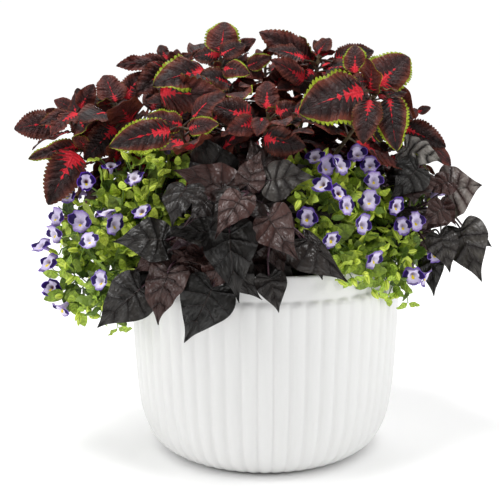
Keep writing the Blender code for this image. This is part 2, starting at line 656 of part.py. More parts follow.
def spray_leaves(stem, path, section, side, draw):
    """A leaf that grows out of one side of a spray's stem, and then the same leaf nudged."""
    points = stem_shape(stem, path).points
    out = side_normal(points, section, side)
    root = (path[section] + path[section + 1]) / 2
    axis = (path[section + 1] - path[section]).normalized()
    base = root + out * HABITS["torenia"].stem * 0.6
    size = stem.largest * draw.uniform(0.8, 1.05)
    for swing, tilt, shrink in NUDGES:
        lean = math.radians(62 + draw.uniform(-6, 6) + tilt * 0.6)
        turn = Matrix.Rotation(math.radians(swing), 3, axis)
        chord = (turn @ (axis * math.cos(lean) + out * math.sin(lean)) + UP * 0.1).normalized()
        if chord.dot(out) < 0.35:
            continue
        normal = square_to(axis + UP * 0.3, chord)
        yield Leaf("torenia", root, base, base + chord * size * shrink, normal, HABITS["torenia"].spread)


def trailing_leaves(stem, path, index, draw):
    """A leaf of a trailing stem, each a good third of a turn on from the last, and then nudged."""
    root, axis = along(path, 0.98 - 0.15 * index)
    outward = Vector((root.x, root.y, 0)).normalized()
    side = square_to(UP + outward * 0.4, axis)
    size = stem.largest * min(0.55 + 0.2 * index, 1) * draw.uniform(0.88, 1.08)
    start = 137.5 * index + draw.uniform(-20, 20)
    for swing, tilt, shrink in NUDGES:
        radial = Matrix.Rotation(math.radians(start + swing), 3, axis) @ side
        out = (radial * 0.7 + outward * 0.5 + UP * (0.5 - tilt / 60)).normalized()
        base = root + out * HABITS[stem.plant].reach * (0.6 + 0.4 * shrink)
        normal = (outward * 0.8 + UP * 0.55 + radial * 0.3).normalized()
        fall = square_to(outward * 0.5 + radial * 0.7 - UP * 0.9, normal)
        yield Leaf(stem.plant, root, base, base + fall * size * shrink, normal, HABITS[stem.plant].spread)


def moved_blooms(bloom):
    """A flower, and then the same flower moved along the line of sight, up or down, or turned."""
    for shift in (0, 5, -5, 10, -10, 16, -16, 24):
        for lift in (0, 4, -4):
            for turn in (0, 18, -18):
                at = bloom.at + (EYE - bloom.at).normalized() * shift / 1000 + UP * lift / 1000
                yield bloom._replace(at=at, right=bloom.right + turn)


Grown = namedtuple("Grown", "name stem path leaves blooms shapes")


def settle(thicket, plant, choices, shape_of, spray_with=None):
    """Adds the first choice that is clear of every other node, and best of its own, if there is one."""
    spare = None
    for choice in choices:
        shape = shape_of(choice)
        if tangled(spray_with(choice) if spray_with else shape):
            continue
        if thicket.clear(plant.name, shape, SPRAY_CLEARANCE if spray_with else CLEARANCE):
            if spray_with or thicket.uncrossed(plant.name, shape):
                break
            spare = spare or (choice, shape)
    else:
        if not spare:
            return None
        choice, shape = spare
    thicket.add(plant.name, shape)
    plant.shapes.append(shape)
    return choice


def above_soil(point):
    """Whether a point of a stem is well above the soil, or outside the pot."""
    return point.z > SOIL_LEVEL + 0.015 or math.hypot(point.x, point.y) > RIM_RADIUS + 0.005


def grow(thicket, soil):
    """Sets out every stem, leaf and flower, so that no two nodes touch."""
    counts, plants = {}, []
    for stem, root in zip(STEMS, rootings()):
        counts[stem.plant] = counts.get(stem.plant, 0) + 1
        name = f"{stem.plant}_{counts[stem.plant]:02d}"
        for bow, rise, hang in BENDS:
            path = stem_path(stem, root, bow, rise, hang)
            shape = stem_shape(stem, path)
            if thicket.clear(name, shape, STEM_CLEARANCE) and all(above_soil(p) for p in path[2:]):
                break
        thicket.add(name, shape)
        plants.append(Grown(name, stem, path, [], {}, [shape]))
    thicket.add("soil", soil)
    for plant in plants:
        for i, bloom in enumerate(plant.stem.blooms):
            root = plant.path[(-1, SIDE_BLOOM_SECTION)[i]]
            placed = settle(
                thicket, plant, moved_blooms(bloom), lambda choice: bloom_shape(choice, root),
                lambda choice: spray_shape(plant.path, plant.stem, [], {**plant.blooms, i: choice}))
            if placed:
                plant.blooms[i] = placed
    for plant in plants:
        for seen in plant.stem.leaves:
            keep_leaf(thicket, plant, seen_leaves(plant.stem, plant.path, seen))
    for plant in plants:
        for index in plant.stem.pairs:
            for way in range(1 if plant.stem.plant == "vine" else 2):
                draw = random.Random(f"{plant.name} {index} {way}")
                if plant.stem.plant == "torenia":
                    keep_spray_leaf(thicket, plant, index, way, draw)
                elif plant.stem.plant == "vine":
                    keep_leaf(thicket, plant, trailing_leaves(plant.stem, plant.path, index, draw))
                else:
                    keep_leaf(thicket, plant, paired_leaves(plant.stem, plant.path, index, way, draw))
    return plants


def keep_leaf(thicket, plant, choices):
    """Gives a plant the first of some leaves that has room."""
    leaf = settle(thicket, plant, choices, leaf_shape)
    if leaf:
        plant.leaves.append(leaf)


def keep_spray_leaf(thicket, plant, index, way, draw):
    """Gives a spray a leaf on one side of its stem."""
    section, side = leaf_section(plant.path, index), index % 2 + 2 * way
    choices = spray_leaves(plant.stem, plant.path, section, side, draw)
    leaf = settle(thicket, plant, choices, leaf_shape, lambda leaf: spray_shape(
        plant.path, plant.stem, [*plant.leaves, (leaf, section, side)], plant.blooms))
    if leaf:
        plant.leaves.append((leaf, section, side))


def ring(radius, height, sides, groove=0.0):
    """A level ring of points. With a groove, every second one lies that much further in."""
    points = []
    for i in range(sides):
        r = radius - groove * (i % 2)
        turn = math.tau * i / sides
        points.append(Vector((r * math.cos(turn), r * math.sin(turn), height)))
    return points


def bands(points, rings):
    """Faces that join rings of points in turn, where one may have twice or half as many."""
    faces = []
    for (a, many), (b, few) in zip(rings, rings[1:]):
        for i in range(max(many, few)):
            j = i + 1
            if many == few:
                faces.append((a + i, a + j % many, b + j % few, b + i))
            elif many > few:
                faces.append((a + i, a + j % many, b + (j // 2) % few, b + (i // 2) % few))
            else:
                faces.append((a + (i // 2) % many, a + (j // 2) % many, b + j % few, b + i))
    return [tuple(dict.fromkeys(face)) for face in faces]


def turned(profile, foot):
    """A closed solid of level rings, capped at both ends round a small triangle."""
    points, rings = [], []
    for radius, height, sides, groove in profile:
        rings.append((len(points), sides))
        points += ring(radius, height, sides, groove)
    faces = bands(points, rings)
    for (start, sides), height in ((rings[0], profile[0][1]), (rings[-1], profile[-1][1])):
        middle = len(points)
        points += ring(foot, height, 3)
        faces.append((middle, middle + 1, middle + 2))
        for k in range(3):
            low, high = round(k * sides / 3), round((k + 1) * sides / 3)
            faces += [(start + i, start + (i + 1) % sides, middle + k) for i in range(low, high)]
            faces.append((start + high % sides, middle + (k + 1) % 3, middle + k))
    return points, faces


def pot_mesh():
    """The pot: a flat foot, ribs that end under a plain band, and a plain inside."""
    profile = [(BASE_RADIUS, 0.0, FLUTES, 0)]
    profile += [(radius, height, FLUTES * 2, FLUTE_DEPTH) for radius, height in FLUTED_RINGS]
    profile += [(RIM_RADIUS, FLUTE_TOP, FLUTES, 0), (RIM_RADIUS, RIM_HEIGHT, FLUTES, 0)]
    profile += [(radius, height, LINER_SIDES, 0) for radius, height in reversed(LINER_RINGS)]
    return turned(profile, 0.02)


def soil_mesh():
    """The soil, which fills the pot to below its rim and rises a little in the middle."""
    profile = []
    for radius, height in LINER_RINGS[:-1]:
        profile.append((radius - SEAT_GAP * 1.3, height + SEAT_GAP, LINER_SIDES, 0))
    level = (SOIL_LEVEL - LINER_RINGS[-2][1]) / (LINER_RINGS[-1][1] - LINER_RINGS[-2][1])
    edge = LINER_RINGS[-2][0] + (LINER_RINGS[-1][0] - LINER_RINGS[-2][0]) * level
    profile.append((edge - SEAT_GAP * 1.3, SOIL_LEVEL - 0.003, LINER_SIDES, 0))
    profile.append((edge * 0.80, SOIL_LEVEL + 0.002, LINER_SIDES // 2, 0))
    profile.append((edge * 0.45, SOIL_LEVEL + SOIL_CROWN, 7, 0))
    points, faces = turned(profile, 0.02)
    draw = random.Random("soil")
    for point in points:
        if point.z > SOIL_LEVEL:
            point.z += draw.uniform(-0.002, 0.002)
    return points, faces


def new_object(name, points, faces, material=None):
    """An object from points and faces, with its faces turned outwards."""
    mesh = bpy.data.meshes.new(name)
    bm = bmesh.new()
    corners = [bm.verts.new(point) for point in points]
    for face in faces:
        bm.faces.new([corners[i] for i in face])
    bmesh.ops.connect_verts_nonplanar(bm, angle_limit=0.002, faces=bm.faces)
    bmesh.ops.recalc_face_normals(bm, faces=bm.faces)
    bm.to_mesh(mesh)
    bm.free()
    thing = bpy.data.objects.new(name, mesh)
    bpy.context.scene.collection.objects.link(thing)
    if material:
        mesh.materials.append(material)
    return thing


def combine(thing, others, operation, solver="MANIFOLD"):
    """Joins other solids to an object, or cuts them out of it, and removes them."""
    group = bpy.data.collections.new("operands")
    bpy.context.scene.collection.children.link(group)
    for other in others:
        bpy.context.scene.collection.objects.unlink(other)
        group.objects.link(other)
    step = thing.modifiers.new("combine", "BOOLEAN")
    step.operation = operation
    step.operand_type = "COLLECTION"
    step.collection = group
    step.solver = solver
    with bpy.context.temp_override(object=thing, active_object=thing):
        bpy.ops.object.modifier_apply(modifier=step.name)
    for other in others:
        bpy.data.objects.remove(other)
    bpy.data.collections.remove(group)


def finish(name, colour, roughness, metallic=0.0):
    """A plain material with the part's own colour."""
    material = bpy.data.materials.new(name)
    material.use_nodes = True
    shader = material.node_tree.nodes["Principled BSDF"]
    shader.inputs["Base Color"].default_value = (*colour, 1)
    shader.inputs["Roughness"].default_value = roughness
    shader.inputs["Metallic"].default_value = metallic
    material.diffuse_color = (*colour, 1)
    return material


def main():
    """Builds the planter."""
    for thing in list(bpy.data.objects):
        bpy.data.objects.remove(thing)
    finishes = {
        "pot": finish("pot_glaze", (0.86, 0.86, 0.84), 0.3),
        "soil": finish("potting_soil", (0.05, 0.03, 0.02), 0.95),
        "coleus": finish("coleus_leaf", (0.12, 0.01, 0.015), 0.55),
        "vine": finish("vine_leaf", (0.05, 0.045, 0.06), 0.5),
        "torenia": finish("torenia_leaf", (0.35, 0.55, 0.05), 0.5),
    }
    thicket = Thicket()
    pot_points, pot_faces = pot_mesh()
    thicket.add("pot", Shape(pot_points, pot_faces, ()))
    new_object("pot", pot_points, pot_faces, finishes["pot"])
    points, faces = soil_mesh()
    plants = grow(thicket, Shape(points, faces, ()))
    soil = new_object("soil", points, faces, finishes["soil"])
    holes = []
    for plant in plants:
        radius = HABITS[plant.stem.plant].stem + SEAT_GAP * math.sqrt(2)
        foot = plant.path[0] - UP * SEAT_GAP
        path = [foot, foot + UP * (ROOTED + SOIL_CROWN + 0.02)]
        hole = tube(path, [radius, radius], 4, Vector((1, 0, 0)))
        holes.append(new_object("hole", hole.points, hole.faces))
    combine(soil, holes, "DIFFERENCE")
    for plant in plants:
        shapes = plant.shapes
        if plant.stem.plant == "torenia":
            shapes = [spray_shape(plant.path, plant.stem, plant.leaves, plant.blooms)]
        pieces = [new_object(plant.name, shape.points, shape.faces) for shape in shapes]
        pieces[0].data.materials.append(finishes[plant.stem.plant])
        if len(pieces) > 1:
            combine(pieces[0], pieces[1:], "UNION")


main()
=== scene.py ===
"""The looks of a patio planter: sweet potato vine, coleus and wishbone flower in a ribbed white pot.

Metres, +Z up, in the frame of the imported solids, with the front towards -Y. The plants follow the same
rules of growth as the solids, and each solid's own corners tell which of a leaf's possible places was
built. Fine leaves, flowers and stems then grow there, with the small shoots that fill the planting.
"""

import math
import random
from collections import namedtuple
from functools import partial
from itertools import zip_longest

import bmesh
import bpy
import numpy as np
from bpy.props import FloatProperty, FloatVectorProperty, IntProperty, PointerProperty
from mathutils import Matrix, Vector, noise
from mathutils.bvhtree import BVHTree
from mathutils.kdtree import KDTree


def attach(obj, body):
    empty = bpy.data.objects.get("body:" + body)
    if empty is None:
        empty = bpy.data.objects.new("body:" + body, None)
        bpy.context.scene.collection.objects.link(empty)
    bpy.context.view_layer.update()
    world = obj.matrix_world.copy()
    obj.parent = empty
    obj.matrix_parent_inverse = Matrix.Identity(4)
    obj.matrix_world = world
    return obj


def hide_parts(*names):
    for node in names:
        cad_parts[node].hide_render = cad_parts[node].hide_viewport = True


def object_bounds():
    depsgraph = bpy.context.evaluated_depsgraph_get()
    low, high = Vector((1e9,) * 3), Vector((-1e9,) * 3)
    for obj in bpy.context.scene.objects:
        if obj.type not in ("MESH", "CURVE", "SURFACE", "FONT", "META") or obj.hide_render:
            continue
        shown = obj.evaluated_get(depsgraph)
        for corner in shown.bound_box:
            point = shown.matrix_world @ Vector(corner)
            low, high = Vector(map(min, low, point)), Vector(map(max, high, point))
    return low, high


bl_info = {
    "name": "Mixed patio planter",
    "version": (1, 0, 0),
    "blender": (4, 5, 0),
    "location": "View3D > Sidebar > Planter",
    "description": "A ribbed white planter of sweet potato vine, coleus and wishbone flower",
    "category": "Add Mesh",
}

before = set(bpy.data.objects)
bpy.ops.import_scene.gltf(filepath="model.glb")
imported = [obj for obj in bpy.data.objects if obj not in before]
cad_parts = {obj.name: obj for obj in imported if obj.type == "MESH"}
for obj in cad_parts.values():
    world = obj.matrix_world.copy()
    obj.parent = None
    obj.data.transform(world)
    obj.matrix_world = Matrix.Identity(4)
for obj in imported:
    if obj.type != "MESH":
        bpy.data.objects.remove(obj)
CAD_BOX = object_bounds()

# Pot
RIM_HEIGHT = 0.257
RIM_RADIUS = 0.1708
BASE_RADIUS = 0.125
FLUTES = 56
FLUTE_DEPTH = 0.0042
WALL = 0.006
FLOOR = 0.010
POT_SIDE = ((BASE_RADIUS, 0.0), (0.137, 0.006), (0.150, 0.018), (0.161, 0.040), (0.168, 0.075),
            (0.1725, 0.140), (0.175, 0.219))
LINER_RINGS = ((0.118, FLOOR), (0.156, 0.052), (0.1635, 0.120), (RIM_RADIUS - WALL, RIM_HEIGHT))
# Rings of the rim, from the end of the ribs over the band and round its edge to the inside: radius,
# height, and how deep the ribs still are
RIM_RINGS = ((0.1747, 0.2222, 0.9), (0.1736, 0.2245, 0.6), (0.1722, 0.2262, 0.25), (0.1711, 0.2272, 0.05),
             (RIM_RADIUS, 0.2280, 0), (RIM_RADIUS, 0.2300, 0), (RIM_RADIUS, 0.2540, 0),
             (RIM_RADIUS - 0.0004, 0.2560, 0), (RIM_RADIUS - 0.0015, RIM_HEIGHT, 0),
             (RIM_RADIUS - WALL + 0.0015, RIM_HEIGHT, 0), (RIM_RADIUS - WALL + 0.0003, 0.2560, 0))
# Rings up the ribbed side, and corners round a rib. Between two of the rings its groove ends in an arch
SIDE_RINGS = 22
RIB_CORNERS = 8
ARCHED_RINGS = (17, 26)
ARCH = 0.0035

# Soil
SOIL_LEVEL = 0.232
SOIL_CROWN = 0.006
ROOTED = 0.045
SEAT_GAP = 0.0004
ROOT_SPACING = 0.0125
ROOTS_REACH = 0.148
GOLDEN_TURN = 2.4
# Its top: radius, rings and corners, and its lumps, how many to a metre and how high. Then bits of bark:
# how far out they lie, and how long their halves are
SOIL_EDGE = 0.1638
SOIL_RINGS = 30
SOIL_CORNERS = 110
CLODS = ((90, 0.003), (260, 0.0015))
BARK_REACH = 0.152
BARK_SIZES = (0.002, 0.007)

# Camera of the photograph, whose picture is 500 pixels square
EYE = Vector((0.0, -1.30, 0.503))
EYE_TILT = math.radians(10.73)
AXIS_PIXEL = 265.2
LEVEL_PIXEL = 250.0
FOCAL_PIXELS = 1012.0
PICTURE = 500
UP = Vector((0.0, 0.0, 1.0))

# Wishbone flower: how far behind its mouth its stalk ends, how far that hangs, how far its lobes bend
# back, and radii
STEM_BACK = 0.030
STEM_DROP = 0.004
LOBE_BACK = 0.0025
STALK_RADIUS = 0.0009
BUD_RADIUS = 0.0012
# Heights of a stem that ends high and stands up, and of one that ends low and hangs over, and degrees
# that they lean out. A coleus shoot's lean goes by the metres that it ends out
UPRIGHT_HEIGHT = 0.42
HANGING_HEIGHT = 0.23
UPRIGHT_VINE = 25
UPRIGHT_SPRAY = 30
HANGING_LEAN = 130
COLEUS_LEAN = 190
# How high a stem's first bend is above the soil
COLLAR = 0.004
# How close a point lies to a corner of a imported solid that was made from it
SAME = 0.00005

# What grows of each plant: its blade's outline, how wide it is, how far its stalk reaches, how it arches,
# folds, curls and waves, how thick a stem is, and how long its largest leaf is
Habit = namedtuple("Habit", "outline spread reach arch fold curl wave stem largest")
OVATE = ((0.15, 0.90), (0.30, 0.90), (0.44, 1.0), (0.60, 0.74), (0.76, 0.60))
CORDATE = ((-0.10, 0.30), (-0.13, 0.62), (0.02, 0.95), (0.28, 1.0), (0.55, 0.62), (0.80, 0.20))
SERRATE = ((0.32, 1.0), (0.62, 0.70))
HABITS = {
    "coleus": Habit(OVATE, 0.66, 0.016, 0.09, 0.10, 0.30, 0.020, 0.0034, 0.090),
    "vine": Habit(CORDATE, 0.82, 0.042, 0.08, 0.12, 0.35, 0.025, 0.0030, 0.085),
    "torenia": Habit(SERRATE, 0.62, 0.0, 0.05, 0.10, 0.10, 0.0, 0.0016, 0.036),
}
# A leaf in the photograph: pixels of the blade's base and tip, millimetres that the base is in
# front of the pot's axis, how much nearer the tip is, degrees turned about the midrib, and the
# blade's width over its length, or 0 for the plant's own.
Seen = namedtuple("Seen", "base tip depth nearer roll spread", defaults=(0, 0, 0))
# A flower: its place, and degrees to the right and up that it faces.
Bloom = namedtuple("Bloom", "at right up bud", defaults=(0, 15, False))
# A stem: its top, degrees that it leans out there, and what it bears.
Stem = namedtuple("Stem", "plant top lean leaves blooms pairs")
# A blade with its stalk
Leaf = namedtuple("Leaf", "plant root base tip normal spread")
# A plant as it was built: the centre line that its solid has, its true curve, and what it bears, with
# the leaves that the photograph shows first, and the pixels of the tips of those
Grown = namedtuple("Grown", "name stem path curve leaves blooms tips")

# A flower's edge: degrees round from its right, and millimetres out
LOBES = ((-108, 12.5), (-72, 12.5), (-40, 8.0), (-12, 12.8), (14, 12.8), (34, 8.5), (56, 12.0),
         (90, 10.5), (124, 12.0), (146, 8.5), (166, 12.8), (192, 12.8), (220, 8.0))
# How far out a stem's root is, over how far out its top is
SHARE_OF_REACH = {"coleus": 0.30, "vine": 0.42, "torenia": 0.50}
# Where a spray bears its lowest leaves, its side flower, and its upper leaves, by their share of
# the stem, and the section of the stem that the side flower grows from
LOW_LEAVES = 0.56
SIDE_BLOOM = 0.68
HIGH_LEAVES = (0.80, 0.94)
SIDE_BLOOM_SECTION = 5
# How a stem bends: millimetres to one side, and how far its rise and its droop carry
BENDS = [(bow, rise, hang) for rise, hang in ((0.45, 0.4), (0.6, 0.55), (0.8, 0.7), (0.3, 0.3), (1, 0.9))
         for bow in (0, 8, -8, 16, -16, 24, -24)]
# Millimetres nearer, degrees turned about the midrib, and millimetres that the tip is nearer
MOVES = sorted(((shift, turn, dip) for shift in (0, -6, 6, -12, 12, -18, 18, -25, 25)
                for turn in (0, -14, 14, -28, 28) for dip in (0, 10, -10, 20, -20)),
               key=lambda m: abs(m[0]) + abs(m[1]) / 2 + abs(m[2]))
# Degrees swung round the stem and tilted down, and the share of its size that a leaf keeps
NUDGES = sorted(((swing, tilt, size) for swing in (0, 14, -14, 28, -28) for tilt in (0, 14, -14, 28)
                 for size in (1, 0.8, 0.64)), key=lambda n: abs(n[0]) + abs(n[1]) + 60 * (1 - n[2]))
# Pairs from the stem's tip down: how far below it, how large, and degrees from the stem
PAIR_DEPTHS = (0.006, 0.020, 0.042, 0.074, 0.112)
PAIR_SIZES = (0.30, 0.55, 0.80, 1.0, 1.05)
PAIR_ANGLES = (35, 52, 66, 78, 92)

# Tips of the coleus leaves with a lime margin, and of the purple young leaves of the vine, by their
# pixels in the photograph
LIME_TIPS = ((299, 113), (397, 151), (355, 45), (409, 57), (225, 22), (272, 57), (250, 74), (153, 86),
             (109, 147), (147, 116), (219, 124), (28, 159))
YOUNG_TIPS = ((262, 150), (215, 239), (158, 325), (299, 261), (136, 272), (176, 262), (184, 290),
              (428, 200), (482, 185), (420, 226), (424, 194), (456, 226), (425, 232), (197, 283),
              (176, 276), (173, 170))
# How much painted sheen a silvery leaf of the vine has, and how red a coleus leaf's heart
PAINTED_SHEEN_SHARES = {(442, 162): 1.9, (482, 185): 0.9, (482, 282): 0.3, (316, 178): 0.35, (419, 174): 0.3,
          (450, 273): 0.2}
HEARTS = {(48, 205): 1.5, (28, 159): 0.9, (299, 113): 0.7, (153, 86): 0.9, (84, 160): 0.8, (363, 144): 0.6,
          (109, 147): 0.8, (226, 132): 1.2, (306, 147): 0.8, (104, 75): 0.3, (225, 22): 0.4, (409, 57): 0.9,
          (211, 104): 1.4, (270, 60): 1.4, (259, 32): 0.3, (51, 136): 1.2, (14, 129): 0.8, (193, 54): 1.4,
          (160, 45): 1.4, (194, 57): 1.2, (136, 93): 1.1, (144, 72): 1.2, (300, 108): 1.0, (374, 51): 0.9}
# Leaves that reach less far than their solids, since the photograph shows nothing there
SHORT = {(452, 100): 0.38}
# The top line of the planting in the photograph, which no added leaf crosses
CROWN = ((10, 120), (48, 104), (84, 82), (120, 60), (174, 48), (200, 46), (212, 26), (240, 26), (262, 32),
         (330, 38), (372, 48), (410, 56), (414, 100), (428, 122), (444, 160), (470, 164), (496, 230))
# How much wider or narrower a leaf is on its left and right, and how much it is ruffled
SHAPES = {(482, 185): (1.7, 1.7, 2.2), (442, 162): (1.1, 1.1, 2.4), (349, 283): (0.35, 1.05, 1.0),
          (158, 325): (1.1, 1.1, 1.6), (434, 297): (0.75, 0.75, 0.8), (184, 343): (1.08, 1.08, 0.9),
          (136, 272): (1.5, 1.3, 1.4), (112, 242): (1.1, 1.1, 1.0), (28, 159): (0.55, 0.55, 1.0),
          (409, 57): (1.25, 1.0, 1.0), (116, 66): (0.6, 0.6, 1.0), (104, 75): (0.88, 0.88, 1.0)}
# Leaves that only the dressed plants have
MORE_LEAVES = {
    "coleus_04": (Seen((316, 66), (290, 56), -45, 10), Seen((324, 64), (354, 76), -35, 10, 10),
                  Seen((312, 70), (294, 96), -30, 25, -10), Seen((322, 72), (334, 100), -25, 25, 10),
                  Seen((318, 66), (300, 50), -50, -10), Seen((304, 84), (276, 90), -15, 20, 10),
                  Seen((322, 54), (314, 40), -45, -10)),
    "coleus_03": (Seen((236, 62), (264, 78), -15, 15, 10), Seen((230, 54), (256, 39), -25, -5, 15, 0.5),
                  Seen((236, 80), (258, 92), 0, 20, 10)),
    "coleus_05": (Seen((176, 62), (177, 49), -55, -10),),
    "coleus_07": (Seen((84, 110), (106, 126), -15, 15), Seen((78, 116), (92, 146), -5, 20, 10),
                  Seen((74, 110), (54, 100), -25, -5, -10), Seen((82, 104), (77, 88), -25, -10)),
    "coleus_06": (Seen((112, 104), (88, 100), -25, 0, -10),),
    "vine_02": (Seen((222, 258), (204, 297), 166, 10, -15), Seen((240, 252), (268, 292), 150, 12, 15),
                Seen((214, 250), (197, 283), 155, 12, -10)),
    "vine_03": (Seen((190, 238), (176, 276), 150, 12, -10), Seen((206, 222), (222, 262), 140, 15, 10)),
    "vine_04": (Seen((160, 262), (138, 300), 150, 8, -15), Seen((176, 268), (196, 304), 165, 8, 10)),
    "vine_05": (Seen((286, 240), (306, 278), 140, 15, 10), Seen((268, 236), (284, 276), 145, 15)),
    "vine_06": (Seen((412, 163), (385, 178), 15, 10), Seen((405, 170), (394, 204), 30, 20)),
    "vine_07": (Seen((450, 181), (424, 194), 22, 8, 0, 0.9), Seen((440, 203), (456, 226), 20, 10),
                Seen((444, 212), (425, 232), 30, 12, -10)),
}


def sight(x, y, depth):
    """The point that shows at that pixel, that many millimetres in front of the pot's axis."""
    across, rise = (x - AXIS_PIXEL) / FOCAL_PIXELS, (LEVEL_PIXEL - y) / FOCAL_PIXELS
    ahead = Vector((0, math.cos(EYE_TILT), -math.sin(EYE_TILT)))
    above = Vector((0, math.sin(EYE_TILT), math.cos(EYE_TILT)))
    ray = ahead + above * rise + Vector((across, 0, 0))
    return EYE + ray * ((-depth / 1000 - EYE.y) / ray.y)


def polar(bearing, reach, height):
    """A point by its bearing round the pot, 0 in front and 90 at the right, and in millimetres."""
    turn = math.radians(bearing)
    return Vector((math.sin(turn) * reach, -math.cos(turn) * reach, height)) / 1000


def facing(right, up):
    """The direction that looks so many degrees to the right of the front, and up."""
    right, up = math.radians(right), math.radians(up)
    return Vector((math.sin(right) * math.cos(up), -math.cos(right) * math.cos(up), math.sin(up)))


def square_to(vector, axis):
    """The part of a vector at right angles to an axis, as a unit vector."""
    return (vector - axis * vector.dot(axis)).normalized()


def bezier(a, b, c, d, t):
    """A point of a cubic curve."""
    s = 1 - t
    return a * s ** 3 + b * (3 * s * s * t) + c * (3 * s * t * t) + d * t ** 3


def section_corners(path, radii):
    """The corners of a square stem's sections, as its solid has them."""
    points, across = [], Vector((1, 0, 0))
    for i, (centre, radius) in enumerate(zip(path, radii)):
        ahead = (path[min(i + 1, len(path) - 1)] - path[max(i - 1, 0)]).normalized()
        across = square_to(across, ahead)
        above = ahead.cross(across)
        for k in range(4):
            turn = math.tau * k / 4
            points.append(centre + (across * math.cos(turn) + above * math.sin(turn)) * radius)
    return points


def surface(leaf, t, x):
    """The middle of a blade at places t lengths from its base and x half widths to one side."""
    habit = HABITS[leaf.plant]
    chord = leaf.tip - leaf.base
    length = chord.length
    along = chord.normalized()
    across = np.array(along.cross(leaf.normal))
    side = x * leaf.spread * length / 2
    lift = habit.arch * 4 * t * (1 - t) * length
    lift += habit.fold * abs(side) - habit.curl * side * side / length
    lift += habit.wave * length * x * abs(x) * np.sin(19 * t + 3 * leaf.spread)
    return (np.array(leaf.base) + np.outer(t * length, along) + np.outer(side, across)
            + np.outer(lift, leaf.normal))


def side_normal(points, section, side):
    """The direction that one side of a square stem faces, between a section and the next."""
    a, b = points[section * 4 + side], points[section * 4 + (side + 1) % 4]
    return (b - a).cross(points[section * 4 + 4 + side] - a).normalized()


def vine(top, *leaves, pairs=()):
    """A stem of the sweet potato vine."""
    return Stem("vine", top, lean_at(top, UPRIGHT_VINE), leaves, (), pairs)


def coleus(top, *leaves, pairs=()):
    """A shoot of the coleus."""
    return Stem("coleus", top, math.hypot(top.x, top.y) * COLEUS_LEAN, leaves, (), pairs)


def torenia(*blooms, pairs=range(3)):
    """A spray of the wishbone flower, whose stem ends behind its first flower."""
    first = blooms[0]
    top = first.at - facing(first.right, first.up) * STEM_BACK - UP * STEM_DROP
    return Stem("torenia", top, lean_at(top, UPRIGHT_SPRAY), (), blooms, pairs)


def lean_at(top, upright):
    """How many degrees a stem leans out at its top: one that ends lower hangs further over."""
    share = (UPRIGHT_HEIGHT - top.z) / (UPRIGHT_HEIGHT - HANGING_HEIGHT)
    return upright + (HANGING_LEAN - upright) * min(max(share, 0), 1)


